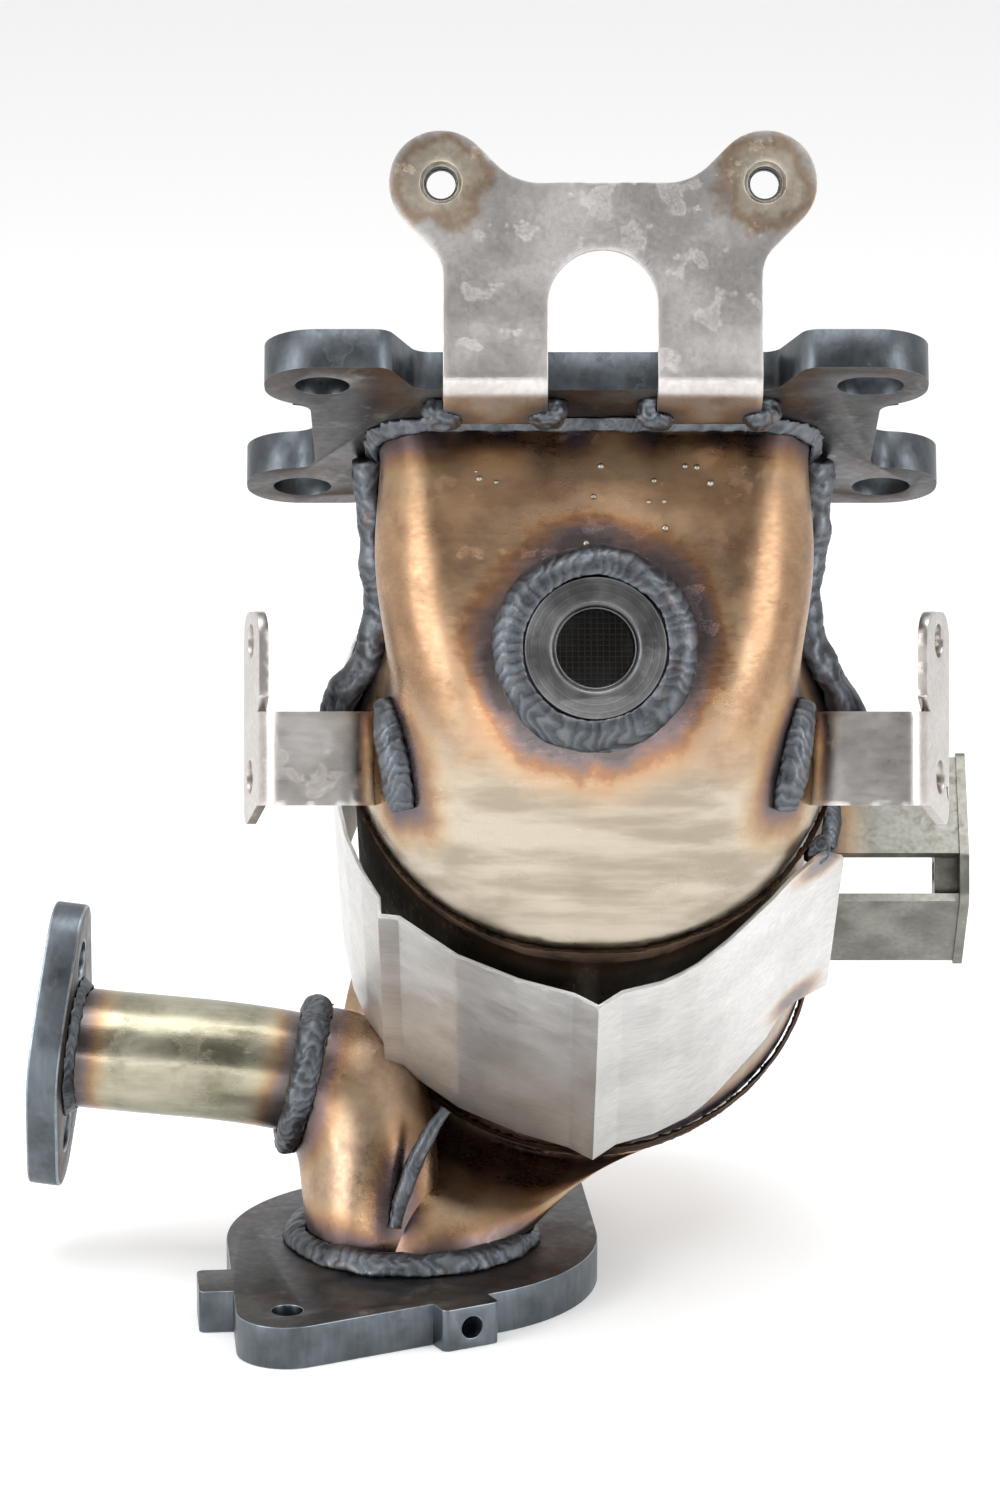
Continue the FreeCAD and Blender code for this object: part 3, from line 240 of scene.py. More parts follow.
def make_spot():
    """A soft round stain with a darker rim, about a centre."""
    web, given, out = new_tree("stain_spot", "ShaderNodeTree", {
        "Place": ("vector", None), "Centre": ("vector", (0, 0, 0)), "Radius": ("float", 0.01),
    }, {"Inside": "float", "Rim": "float"})
    away = web.vector("DISTANCE", given["Place"], given["Centre"], out=1)
    wander = web.sway(given["Place"], 150.0, 4.0, reach=0.8)
    share = web.math("ADD", web.math("DIVIDE", away, given["Radius"]), wander)
    web.feed(out["Inside"], web.between(share, 0.75, 1.15, 1.0, 0.0))
    rim = web.math("ABSOLUTE", web.math("SUBTRACT", share, 0.95))
    web.feed(out["Rim"], web.between(rim, 0.0, 0.22, 1.0, 0.0))
    return web.tree


GRAIN, HEAT, SPOT = make_grain(), make_heat(), make_spot()


# ---------------------------------------------------------------- materials


def start_material(name):
    material = bpy.data.materials.new(name)
    material.use_nodes = True
    web = Web(material.node_tree)
    return material, web, material.node_tree.nodes["Principled BSDF"]


def local_place(web, centre=(0, 0, 0), turn=0.0):
    """Object coordinates, seen from a frame that is moved and turned about X."""
    source = web.node("ShaderNodeTexCoord").outputs["Object"]
    inputs = {"Vector": source, "Location": centre, "Rotation": (turn, 0, 0)}
    return web.node("ShaderNodeMapping", inputs, vector_type="TEXTURE").outputs[0]


def stored(web, name):
    return web.node("ShaderNodeAttribute", attribute_name=name).outputs["Fac"]


def finish_metal(web, shader, colour, rough, height, depth, metallic=1.0):
    """Joins colour, roughness and relief to the shader."""
    web.feed(shader.inputs["Base Color"], colour)
    web.feed(shader.inputs["Roughness"], rough)
    shader.inputs["Metallic"].default_value = metallic
    bump = web.node("ShaderNodeBump", {"Height": height, "Strength": 1.0, "Distance": depth})
    web.feed(shader.inputs["Normal"], bump.outputs[0])


def plain_steel(name, dark, light, rough, stretch=(1, 1, 1), fine=900.0, broad=60.0, depth=0.02,
                turn=0.0, centre=(0, 0, 0), reach=None, strength=1.0, scratch=0.35, extra=None, metallic=1.0):
    """Steel with grain, clouds and scratches, and heat colours where a reach is given.

    Dark and light are the two colours of its clouds, and rough their two roughnesses. Fine and broad are the
    scales of its streaks and clouds, depth is its relief in mm, and extra adds marks of a piece's own.
    """
    material, web, shader = start_material(name)
    place = local_place(web, centre, turn)
    grain = web.group(GRAIN, Place=place, Stretch=stretch, Fine=fine, Broad=broad)
    colour = web.mix(grain["Clouds"], srgb(*dark), srgb(*light))
    dimmed = web.mix(1.0, colour, (0.72, 0.72, 0.72, 1), "MULTIPLY")
    colour = web.mix(web.between(grain["Streaks"], 0.3, 0.7, 0.0, 0.45), colour, dimmed)
    if extra:
        colour = extra(web, place, colour)
    if reach:
        near = stored(web, "weld_distance")
        tinted = web.group(HEAT, Bare=colour, Distance=near, Reach=reach, Place=place, Strength=strength)
        colour = tinted["Color"]
    colour = web.mix(web.times(grain["Scratches"], scratch), colour, srgb(60, 56, 54))
    clouded = web.between(grain["Clouds"], 0.0, 1.0, rough[0], rough[1], False)
    streaked = web.times(web.math("SUBTRACT", grain["Streaks"], 0.5), 0.25)
    roughness = web.math("ADD", clouded, streaked)
    height = web.math("SUBTRACT", grain["Streaks"], grain["Scratches"])
    finish_metal(web, shader, colour, roughness, height, depth * MM, metallic)
    return material


# Heights on the shell, from the leaning frame's origin, where silver gives way to gold and smoke begins.
SILVER_TOP, GOLD_FOOT = -14 * MM, 10 * MM
SMOKE_FOOT, SMOKE_TOP = 20 * MM, 42 * MM
RING_REACH = 24 * MM


def shell_colours(web, place, colour):
    """Gold and copper high on the shell, silver low on it, and rings of colour about the sensor boss."""
    axes = web.node("ShaderNodeSeparateXYZ", {"Vector": place}).outputs
    height = web.math("ADD", axes["Y"], web.sway(place, 45.0, reach=30 * MM))
    low = web.between(height, SILVER_TOP, GOLD_FOOT, 1.0, 0.0)
    bands = web.noise(web.vector("MULTIPLY", place, (0.35, 2.2, 1.0)), 90.0, 4.0)
    silver = web.mix(web.between(bands, 0.35, 0.65), srgb(158, 147, 130), srgb(188, 178, 162))
    colour = web.mix(low, colour, silver)
    away = web.math("ADD", stored(web, "bung_distance"), web.sway(place, 75.0, 5.0, 0.65, reach=14 * MM))
    share = web.math("DIVIDE", away, RING_REACH, clamp=True)
    rings = web.ramp(share, [
        (0.0, srgb(84, 82, 88)), (0.06, srgb(112, 100, 106)), (0.13, srgb(136, 108, 96)),
        (0.20, srgb(160, 114, 82)), (0.27, srgb(190, 152, 116)), (0.42, srgb(204, 178, 150)),
        (1.0, srgb(186, 158, 130))])
    colour = web.mix(web.between(share, 0.14, 0.55, 0.85, 0.0), colour, rings)
    patchy = web.between(web.noise(place, 60.0, 4.0), 0.4, 0.7)
    smoke = web.times(web.between(height, SMOKE_FOOT, SMOKE_TOP), patchy)
    return web.mix(web.times(smoke, 0.45), colour, srgb(112, 90, 74))


STAIN_RADIUS = 10.5 * MM


def bracket_stains(web, place, colour):
    """Brown stains about the two screw holes of the top bracket."""
    for nut in ("weld_nut_left", "weld_nut_right"):
        low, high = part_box(nut)
        spot = web.group(SPOT, Place=place, Centre=(low + high) / 2, Radius=STAIN_RADIUS)
        colour = web.mix(web.times(spot["Inside"], 0.45), colour, srgb(196, 176, 140))
        colour = web.mix(web.times(spot["Rim"], 0.6), colour, srgb(150, 116, 78))
    return colour


def burnt_plate(web, place, colour):
    """Soot and brown oxide in patches on a plate."""
    patch = web.between(web.noise(place, 38.0, 5.0, 0.65), 0.46, 0.62)
    colour = web.mix(web.times(patch, 0.65), colour, srgb(84, 66, 56))
    pale = web.between(web.noise(place, 85.0, 5.0, 0.7), 0.58, 0.72)
    return web.mix(web.times(pale, 0.5), colour, srgb(150, 148, 142))


def turned_rings(web, place, colour):
    """Fine tool marks in circles about the local Z axis."""
    axes = web.node("ShaderNodeSeparateXYZ", {"Vector": place}).outputs
    squares = [web.times(axes[key], axes[key]) for key in "XY"]
    radius = web.math("SQRT", web.math("ADD", *squares))
    marks = web.noise(web.node("ShaderNodeCombineXYZ", {"X": radius}).outputs[0], 2600.0, 2.0)
    return web.mix(web.between(marks, 0.35, 0.65, 0.0, 0.5), colour, srgb(58, 58, 60))


def make_weld_steel():
    """Blue-grey bead steel with patches of brown scale, painted shade in its hollows and a painted highlight
    on its crowns.
    """
    material, web, shader = start_material("weld_steel")
    place = local_place(web)
    grain = web.group(GRAIN, Place=place, Fine=1400.0, Broad=170.0)
    colour = web.mix(grain["Clouds"], srgb(74, 77, 82), srgb(98, 102, 107))
    rust = web.between(web.noise(place, 210.0, 5.0, 0.65), 0.56, 0.70)
    colour = web.mix(web.times(rust, 0.6), colour, srgb(98, 74, 58))
    # Painted highlight: the ripple crowns are painted lighter, standing for light caught on the tops of the
    # bead.
    crown = web.between(stored(web, "bead_height"), 0.45, 0.95)
    colour = web.mix(web.times(crown, 0.35), colour, srgb(134, 140, 146))
    # Painted shade: the dips between the ripples are painted dark grey, standing for the shade that falls in
    # the bead's hollows.
    hollow = web.between(stored(web, "bead_height"), 0.05, 0.35, 0.4, 0.0)
    colour = web.mix(hollow, colour, srgb(48, 47, 50))
    rough = web.between(grain["Streaks"], 0.3, 0.7, 0.34, 0.58, False)
    finish_metal(web, shader, colour, rough, web.math("ADD", grain["Streaks"], grain["Clouds"]), 0.06 * MM)
    return material


def make_soot():
    """Matt black soot inside the gas way."""
    material, web, shader = start_material("soot_black")
    place = local_place(web)
    cloud = web.noise(place, 130.0, 5.0, 0.6)
    colour = web.mix(cloud, srgb(22, 20, 19), srgb(52, 46, 42))
    rough = web.between(cloud, 0.3, 0.7, 0.7, 0.95, False)
    finish_metal(web, shader, colour, rough, cloud, 0.1 * MM, metallic=0.0)
    return material


CELL_PITCH = 1.3 * MM


def make_brick():
    """Fired ceramic with rows of square cells along its length; the cell openings are painted near-black as
    painted shade down each channel.
    """
    material, web, shader = start_material("brick_ceramic")
    place = local_place(web, CAN_PLACE, CAN_TURN)
    axes = web.node("ShaderNodeSeparateXYZ", {"Vector": place}).outputs
    across = []
    for key in "XY":
        share = web.math("FRACT", web.math("DIVIDE", axes[key], CELL_PITCH))
        across.append(web.math("ABSOLUTE", web.math("SUBTRACT", share, 0.5)))
    wall = web.between(web.math("MAXIMUM", *across), 0.36, 0.42)
    clouds = web.noise(place, 120.0, 4.0)
    # Painted shade: the middles of the cells are near-black, standing for the shade down the channels, and the
    # walls between them take the ceramic's colour.
    colour = web.mix(wall, srgb(14, 12, 11), web.mix(clouds, srgb(44, 38, 34), srgb(66, 58, 50)))
    rough = web.between(clouds, 0.3, 0.7, 0.75, 0.95, False)
    finish_metal(web, shader, colour, rough, wall, 0.3 * MM, metallic=0.0)
    return material


def make_mat():
    """Pressed fibre matting."""
    material, web, shader = start_material("mat_fibre")
    place = local_place(web)
    fibre = web.noise(web.vector("MULTIPLY", place, (0.3, 1, 1)), 1500.0, 5.0, 0.7)
    colour = web.mix(fibre, srgb(150, 142, 128), srgb(222, 216, 204))
    rough = web.between(fibre, 0.2, 0.8, 0.8, 1.0, False)
    finish_metal(web, shader, colour, rough, fibre, 0.2 * MM, metallic=0.0)
    return material


# Each steel's name, the two colours of its clouds and its two roughnesses, then what is its own.
STEELS = {
    "shell_steel": ((140, 110, 86), (188, 154, 120), (0.26, 0.40), {
        "stretch": (0.5, 1.4, 1), "fine": 700.0, "broad": 42.0, "turn": LEAN_TURN, "centre": LEAN_PLACE,
        "reach": 13 * MM, "strength": 0.85, "scratch": 0.12, "extra": shell_colours}),
    "can_steel": ((128, 114, 96), (172, 162, 146), (0.26, 0.42), {
        "stretch": (1, 1, 0.2), "turn": CAN_TURN, "centre": CAN_PLACE, "reach": 14 * MM}),
    "outlet_steel": ((140, 114, 96), (190, 164, 138), (0.24, 0.42), {
        "broad": 48.0, "reach": 11 * MM, "strength": 0.8, "scratch": 0.15}),
    "pipe_steel": ((136, 132, 112), (184, 180, 160), (0.22, 0.38), {
        "stretch": (0.12, 1, 1), "fine": 800.0, "reach": 9 * MM, "strength": 0.8, "scratch": 0.2}),
    "flange_face": ((66, 66, 68), (104, 104, 104), (0.36, 0.55), {
        "fine": 500.0, "broad": 70.0, "depth": 0.05, "extra": burnt_plate}),
    "flange_edge": ((78, 82, 86), (108, 115, 121), (0.30, 0.46), {"stretch": (1, 1, 0.12), "depth": 0.05}),
    # The flange rim's bright bluish steel is a painted highlight along the softened edges.
    "flange_rim_painted_highlight": ((120, 130, 138), (160, 170, 178), (0.26, 0.4), {"broad": 160.0}),
    "bung_steel": ((92, 92, 94), (134, 134, 134), (0.30, 0.46), {
        "turn": LEAN_TURN, "centre": BUNG_PLACE, "extra": turned_rings}),
    "shield_steel": ((206, 205, 203), (226, 225, 223), (0.36, 0.44), {
        "stretch": (0.08, 1, 1), "turn": CAN_TURN, "centre": CAN_PLACE, "reach": 9 * MM, "strength": 0.8,
        "scratch": 0.05, "depth": 0.006, "metallic": 0.82}),
    "bracket_steel": ((196, 191, 188), (214, 210, 207), (0.34, 0.44), {
        "stretch": (1, 0.2, 1), "reach": 8 * MM, "strength": 0.6, "scratch": 0.5, "extra": bracket_stains}),
    "ear_steel": ((184, 178, 173), (208, 203, 199), (0.28, 0.40), {
        "stretch": (0.2, 1, 1), "reach": 9 * MM, "strength": 0.6, "scratch": 0.2}),
    "stay_zinc": ((112, 111, 104), (150, 149, 142), (0.32, 0.48), {
        "broad": 110.0, "reach": 9 * MM, "strength": 0.7}),
    "nut_zinc": ((140, 136, 124), (186, 182, 170), (0.30, 0.46), {"broad": 140.0}),
    "rim_brown": ((58, 46, 38), (92, 74, 60), (0.5, 0.66), {"broad": 120.0, "depth": 0.04}),
}
LOOKS = {name: plain_steel(name, *base, **own) for name, (*base, own) in STEELS.items()}
LOOKS.update(
    weld_steel=make_weld_steel(), soot_black=make_soot(), brick_ceramic=make_brick(), mat_fibre=make_mat())


# ---------------------------------------------------------------- meshes


def merged_grid(node):
    """A solid's loose triangles, copied and joined into one skin."""
    grid = bmesh.new()
    grid.from_mesh(NODES[node].data)
    bmesh.ops.remove_doubles(grid, verts=grid.verts, dist=MERGE)
    return grid


def tidy_skin(grid):
    """Clears slivers that would shade as dark specks."""
    bmesh.ops.dissolve_degenerate(grid, dist=SLIVER, edges=grid.edges)


def grid_object(name, grid):
    mesh = bpy.data.meshes.new(name)
    grid.to_mesh(mesh)
    grid.free()
    for attribute in [a.name for a in mesh.attributes if a.name == "custom_normal"]:
        mesh.attributes.remove(mesh.attributes[attribute])
    made = bpy.data.objects.new(name, mesh)
    bpy.context.scene.collection.objects.link(made)
    return made


def settle(piece):
    """Turns a piece's modifiers into plain mesh."""
    graph = bpy.context.evaluated_depsgraph_get()
    ready = piece.evaluated_get(graph)
    mesh = bpy.data.meshes.new_from_object(ready, preserve_all_data_layers=True, depsgraph=graph)
    piece.modifiers.clear()
    piece.data = mesh
    return piece


def paint(piece, *looks):
    piece.data.materials.clear()
    for look in looks:
        piece.data.materials.append(LOOKS[look])


def smooth(piece, crease=CREASE):
    piece.data.shade_smooth()
    piece.data.set_sharp_from_angle(angle=crease)


def hand_over(piece, slot, *stands_for):
    """Puts a finished piece on the body, and hides the solids that it stands for."""
    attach(piece, "root")
    if stands_for:
        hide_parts(*stands_for)
    return piece


def refine(grid, longest):
    """Splits long edges, so that a value kept on the points can follow the skin."""
    for _ in range(REFINE_PASSES):
        edges = [edge for edge in grid.edges if edge.calc_length() > longest]
        if not edges:
            break
        bmesh.ops.subdivide_edges(grid, edges=edges, cuts=1)
        bmesh.ops.triangulate(grid, faces=[face for face in grid.faces if len(face.verts) > 3])


def tree_of(nodes):
    """A search tree over the points of some solids."""
    points = [vertex.co for node in nodes for vertex in NODES[node].data.vertices]
    tree = kdtree.KDTree(len(points))
    for index, point in enumerate(points):
        tree.insert(point, index)
    tree.balance()
    return tree


def keep_values(piece, name, values):
    """Keeps one value for each of a piece's points."""
    piece.data.attributes.new(name, "FLOAT", "POINT").data.foreach_set("value", values)


def keep_distance(piece, name, tree):
    """Keeps each point's distance from the nearest point of a search tree."""
    keep_values(piece, name, [tree.find(vertex.co)[2] for vertex in piece.data.vertices])


def soot_hollow(piece, start, stop):
    """Paints the faces that turn towards a hollow's middle line with the soot of the gas way."""
    piece.data.materials.append(LOOKS["soot_black"])
    soot = len(piece.data.materials) - 1
    run = stop - start
    for face in piece.data.polygons:
        share = min(max((face.center - start).dot(run) / run.length_squared, 0.0), 1.0)
        if face.normal.dot(face.center - (start + run * share)) < 0:
            face.material_index = soot


def dress(node, slot, look=None, longest=None, bevel=0.0, edge_looks=(), axis=None, hot=(), hollow=None):
    """A copy of a solid with softened edges, its finish, and its distances from the hot welds.

    A plate's edge and rim take looks of their own about its axis; on the flanges the rim's look is a painted
    highlight along the softened edge. A hollow is given by its middle line.
    """
    grid = merged_grid(node)
    tidy_skin(grid)
    if bevel:
        bmesh.ops.dissolve_limit(grid, angle_limit=FLAT, verts=grid.verts, edges=grid.edges)
    piece = grid_object(node + "_skin", grid)
    if bevel:
        soft = piece.modifiers.new("edges", "BEVEL")
        soft.width, soft.segments, soft.limit_method, soft.angle_limit = bevel, 2, "ANGLE", CREASE
        settle(piece)
    if longest:
        grid = bmesh.new()
        grid.from_mesh(piece.data)
        bmesh.ops.triangulate(grid, faces=[face for face in grid.faces if len(face.verts) > 4])
        refine(grid, longest)
        tidy_skin(grid)
        grid.to_mesh(piece.data)
        grid.free()
        keep_distance(piece, "weld_distance", tree_of(hot))
        if node in ("front_shell", "back_shell"):
            keep_distance(piece, "bung_distance", BUNG_TREE)
    smooth(piece)
    paint(piece, look or slot, *edge_looks)
    if edge_looks:
        for face in piece.data.polygons:
            tilt = abs(face.normal.dot(axis))
            face.material_index = 0 if tilt > FACE_ON else 1 if tilt < EDGE_ON else 2
    if hollow:
        soot_hollow(piece, *hollow)
    return hand_over(piece, slot, node)


BUNG_TREE = tree_of(["sensor_bung_weld"])


# ---------------------------------------------------------------- weld beads


# A ripple climbs along the run and drops off sharply: its slope, how late it drops, and its middle height.
RIPPLE_SLOPE, RIPPLE_DROP, RIPPLE_MIDDLE = 1.35, 5.0, 0.4
GRIT_SIZE, GRIT_SHARE = 0.9 * MM, 0.7
WANDER, LUMP_GAIN = 5.0, 3.0


def make_bead_tree():
    """Overlapping ripples and lumps, raised on a bead's skin along its run."""
    web, given, out = new_tree("weld_ripples", "GeometryNodeTree", {
        "Skin": ("geometry", None), "Pitch": ("float", 1.8 * MM), "Ripple": ("float", 0.3 * MM),
        "Bow": ("float", 0.9), "Lump": ("float", 0.6 * MM), "Slimming": ("float", 0.0),
        "Lump size": ("float", 5 * MM), "Seed": ("float", 0.0), "Finish": ("material", None),
    }, {"Skin": "geometry"})
    along, across = (
        web.node("GeometryNodeInputNamedAttribute", {"Name": name}, data_type="FLOAT").outputs[0]
        for name in ("along", "across"))
    place = web.node("GeometryNodeInputPosition").outputs[0]
    normal = web.node("GeometryNodeInputNormal").outputs[0]

    def rough(size, detail):
        fineness = web.math("DIVIDE", 1.0, size)
        inputs = {"Vector": place, "W": given["Seed"], "Scale": fineness, "Detail": detail}
        made = web.node("ShaderNodeTexNoise", inputs, noise_dimensions="4D")
        return web.math("SUBTRACT", made.outputs[0], 0.5)

    bowed = web.times(web.times(across, across), given["Bow"])
    turns = web.math("ADD", web.math("DIVIDE", along, given["Pitch"]), bowed)
    turns = web.math("ADD", turns, web.times(rough(given["Lump size"], 2.0), WANDER))
    step = web.math("FRACT", turns)
    scale = web.times(step, web.math("SUBTRACT", RIPPLE_SLOPE, web.math("POWER", step, RIPPLE_DROP)))
    ripple = web.times(web.math("SUBTRACT", scale, RIPPLE_MIDDLE), given["Ripple"])
    lump = web.times(rough(given["Lump size"], 1.0), web.times(given["Lump"], LUMP_GAIN))
    grit = web.times(rough(GRIT_SIZE, 2.0), web.times(given["Ripple"], GRIT_SHARE))
    raised = web.math("ADD", web.math("ADD", ripple, lump), grit)
    raised = web.math("SUBTRACT", raised, given["Slimming"])
    crown = {"Geometry": given["Skin"], "Name": "bead_height", "Value": scale}
    kept = web.node("GeometryNodeStoreNamedAttribute", crown, data_type="FLOAT", domain="POINT").outputs[0]
    inputs = {"Geometry": kept, "Offset": web.scaled(normal, raised)}
    moved = web.node("GeometryNodeSetPosition", inputs).outputs[0]
    return finish_tree(web, out["Skin"], moved, given["Finish"])


def grow(piece, tree, **values):
    """Runs a node tree on a piece and keeps the mesh that it makes."""
    modifier = piece.modifiers.new("grown", "NODES")
    modifier.node_group = tree
    names = {item.name: item.identifier for item in tree.interface.items_tree if item.in_out == "INPUT"}
    for key, value in values.items():
        modifier[names[key.replace("_", " ")]] = value
    return settle(piece)


def run_lengths(points, ring):
    """How far along the run each point of a bead is, and how far across, as a share of its half width."""
    centre = points.mean(0)
    _, _, turn = np.linalg.svd(points - centre, full_matrices=False)
    flat = (points - centre) @ turn.T
    if ring:
        radius = np.hypot(flat[:, 0], flat[:, 1])
        middle = (radius.max() + radius.min()) / 2
        half = max((radius.max() - radius.min()) / 2, MM)
        angle = np.arctan2(flat[:, 1], flat[:, 0])
        return angle * middle, np.maximum(np.abs(radius - middle), np.abs(flat[:, 2])) / half
    half = max(np.abs(flat[:, 1]).max() * 0.5, MM)
    return flat[:, 0] - flat[:, 0].min(), np.abs(flat[:, 2]) / half


BEADS = make_bead_tree()
MOST_ACROSS = 1.6
# Weld node: voxel, whether it closes on itself, pitch, ripple, lump, lump size and slimming, all in mm.
WELD_SHAPES = {
    "can_top_weld": (0.7, True, 2.8, 0.12, 0.35, 9.0, 1.5),
    "can_bottom_weld": (0.7, True, 2.8, 0.06, 0.2, 9.0, 1.3),
    "left_seam_weld": (0.55, False, 3.6, 0.28, 1.3, 8.0, 0.0),
    "right_seam_weld": (0.55, False, 3.6, 0.28, 1.3, 8.0, 0.0),
    "inlet_flange_weld": (0.6, True, 2.6, 0.16, 0.6, 6.0, 0.2),
    "sensor_bung_weld": (0.45, True, 2.6, 0.17, 0.7, 9.0, 0.3),
    "outlet_flange_weld": (0.55, True, 2.8, 0.24, 0.8, 7.0, 0.2),
    "side_pipe_weld": (0.5, True, 2.6, 0.22, 0.8, 6.0, 0.5),
    "side_flange_weld": (0.5, True, 2.4, 0.18, 0.4, 5.0, 0.2),
    "outlet_seam_weld": (0.45, False, 2.2, 0.10, 0.35, 6.0, 0.8),
    "left_ear_weld": (0.4, False, 2.4, 0.22, 0.7, 6.0, 0.0),
    "right_ear_weld": (0.4, False, 2.4, 0.22, 0.7, 6.0, 0.0),
    "stay_weld": (0.4, False, 2.0, 0.20, 0.4, 4.0, 0.0),
}
TACK_SHAPE = (0.35, False, 2.2, 0.16, 0.7, 3.5, 0.0)
RIMS = ("can_top_weld", "can_bottom_weld")


def lay_bead(node, seed):
    """A weld's bead: the solid's skin made even, then rippled along its run."""
    voxel, ring, pitch, ripple, lump, lump_size, slimming = WELD_SHAPES.get(node, TACK_SHAPE)
    piece = grid_object(node + "_bead", merged_grid(node))
    even = piece.modifiers.new("even", "REMESH")
    even.mode, even.voxel_size = "VOXEL", voxel * MM
    settle(piece)
    points = np.empty(len(piece.data.vertices) * 3)
    piece.data.vertices.foreach_get("co", points)
    along, across = run_lengths(points.reshape(-1, 3), ring)
    keep_values(piece, "along", along)
    keep_values(piece, "across", np.minimum(across, MOST_ACROSS))
    finish = LOOKS["rim_brown" if node in RIMS else "weld_steel"]
    grow(piece, BEADS, Pitch=pitch * MM, Ripple=ripple * MM, Lump=lump * MM, Lump_size=lump_size * MM,
         Slimming=slimming * MM, Seed=float(seed), Finish=finish)
    piece.data.shade_smooth()
    return hand_over(piece, "weld_steel", node)


# ---------------------------------------------------------------- spatter and threads


def make_spatter_tree():
    """Small round drops of weld metal, scattered over a skin."""
    web, given, out = new_tree("weld_spatter", "GeometryNodeTree", {
        "Skin": ("geometry", None), "Density": ("float", 4000.0), "Least": ("float", 0.3 * MM),
        "Most": ("float", 0.8 * MM), "Seed": ("int", 3), "Finish": ("material", None),
    }, {"Drops": "geometry"})
    inputs = {"Mesh": given["Skin"], "Density": given["Density"], "Seed": given["Seed"]}
    spread = web.node("GeometryNodeDistributePointsOnFaces", inputs).outputs[0]
    size = web.node("FunctionNodeRandomValue", {"Seed": given["Seed"]}, data_type="FLOAT")
    # The float sockets of this node come after its vector ones.
    web.feed(size.inputs[2], given["Least"])
    web.feed(size.inputs[3], given["Most"])
    drop = web.node("GeometryNodeMeshIcoSphere", {"Radius": 1.0, "Subdivisions": 3}).outputs[0]
    inputs = {"Points": spread, "Instance": drop, "Scale": size.outputs[1]}
    placed = web.node("GeometryNodeInstanceOnPoints", inputs).outputs[0]
    return finish_tree(web, out["Drops"], placed, given["Finish"])


def make_thread_tree():
    """A screw thread's ridge, wound down a bore about the local Z axis."""
    web, given, out = new_tree("bore_thread", "GeometryNodeTree", {
        "Start": ("geometry", None), "Radius": ("float", 8 * MM), "Pitch": ("float", 1.5 * MM),
        "Length": ("float", 12 * MM), "Depth": ("float", 0.5 * MM), "Place": ("vector", (0, 0, 0)),
        "Turn": ("vector", (0, 0, 0)), "Finish": ("material", None),
    }, {"Ridge": "geometry"})
    coil = web.node("GeometryNodeCurveSpiral", {
        "Resolution": 64, "Rotations": web.math("DIVIDE", given["Length"], given["Pitch"]),
        "Start Radius": given["Radius"], "End Radius": given["Radius"], "Height": given["Length"]}).outputs[0]
    inputs = {"Resolution": 4, "Radius": given["Depth"]}
    profile = web.node("GeometryNodeCurvePrimitiveCircle", inputs).outputs[0]
    inputs = {"Curve": coil, "Profile Curve": profile, "Fill Caps": True}
    ridge = web.node("GeometryNodeCurveToMesh", inputs).outputs[0]
    inputs = {"Geometry": ridge, "Translation": given["Place"], "Rotation": given["Turn"]}
    set_down = web.node("GeometryNodeTransform", inputs).outputs[0]
    return finish_tree(web, out["Ridge"], set_down, given["Finish"])


THREADS = make_thread_tree()
RIDGE_SHARE = 0.32


def lay_thread(name, radius, pitch, length, place, slot):
    """A thread's ridge in a bore of the leaning frame: it starts at a place and runs outwards."""
    piece = grid_object(name, bmesh.new())
    grow(piece, THREADS, Radius=radius, Pitch=pitch, Length=length, Depth=pitch * RIDGE_SHARE,
         Place=tuple(place), Turn=(LEAN_TURN, 0.0, 0.0), Finish=LOOKS["bung_steel"])
    piece.data.shade_smooth()
    return hand_over(piece, slot)


# Where the drops lie, from the boss's middle: how far back at most, between which heights, and how far aside.
DROPS_BACK, DROPS_ASIDE = 30 * MM, 26 * MM
DROPS_LOW, DROPS_HIGH = 15 * MM, 38 * MM
DROPS_FACING = 0.8


def lay_spatter(shell):
    """Drops on the front of the shell, above the sensor boss."""
    grid = bmesh.new()
    grid.from_mesh(shell.data)
    low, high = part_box("sensor_bung")
    middle = (low + high) / 2
    unwanted = []
    for face in grid.faces:
        offset = face.calc_center_median() - middle
        facing = face.normal.dot(LEAN_OUT) > DROPS_FACING and offset.dot(LEAN_OUT) > -DROPS_BACK
        if not (facing and DROPS_LOW < offset.dot(LEAN_UP) < DROPS_HIGH and abs(offset.x) < DROPS_ASIDE):
            unwanted.append(face)
    bmesh.ops.delete(grid, geom=unwanted, context="FACES")
    piece = grid_object("weld_spatter", grid)
    grow(piece, make_spatter_tree(), Density=14000.0, Least=0.25 * MM, Most=0.75 * MM, Seed=5,
         Finish=LOOKS["nut_zinc"])
    piece.data.shade_smooth()
    return hand_over(piece, "weld_steel")


# ---------------------------------------------------------------- the pieces


SEAMS = ("left_seam_weld", "right_seam_weld", "inlet_flange_weld", "left_ear_weld", "right_ear_weld")
OUTLET_WELDS = ("outlet_flange_weld", "side_pipe_weld", "outlet_seam_weld", "side_flange_weld")
BRACKET_TACKS = [name for name in WELDS if name.startswith("bracket_tack")]
SHIELD_TACKS = [name for name in WELDS if name.startswith("shield_tack")]

# The middle line of the dome's gas way, from below the inlet flange to the can.
DOME_RUN = (Vector((38.7, -43.0, 196.0)) * MM, Vector((38.7, -48.4, 138.2)) * MM)
# Each flange's axis, square to its faces.
FLANGE_AXES = {
    "inlet_flange": Vector((0, 0.5, 0.866)),
    "outlet_flange": Vector((0, 0, 1)),
    "side_flange": Vector((0.989, -0.104, -0.101)).normalized(),
}

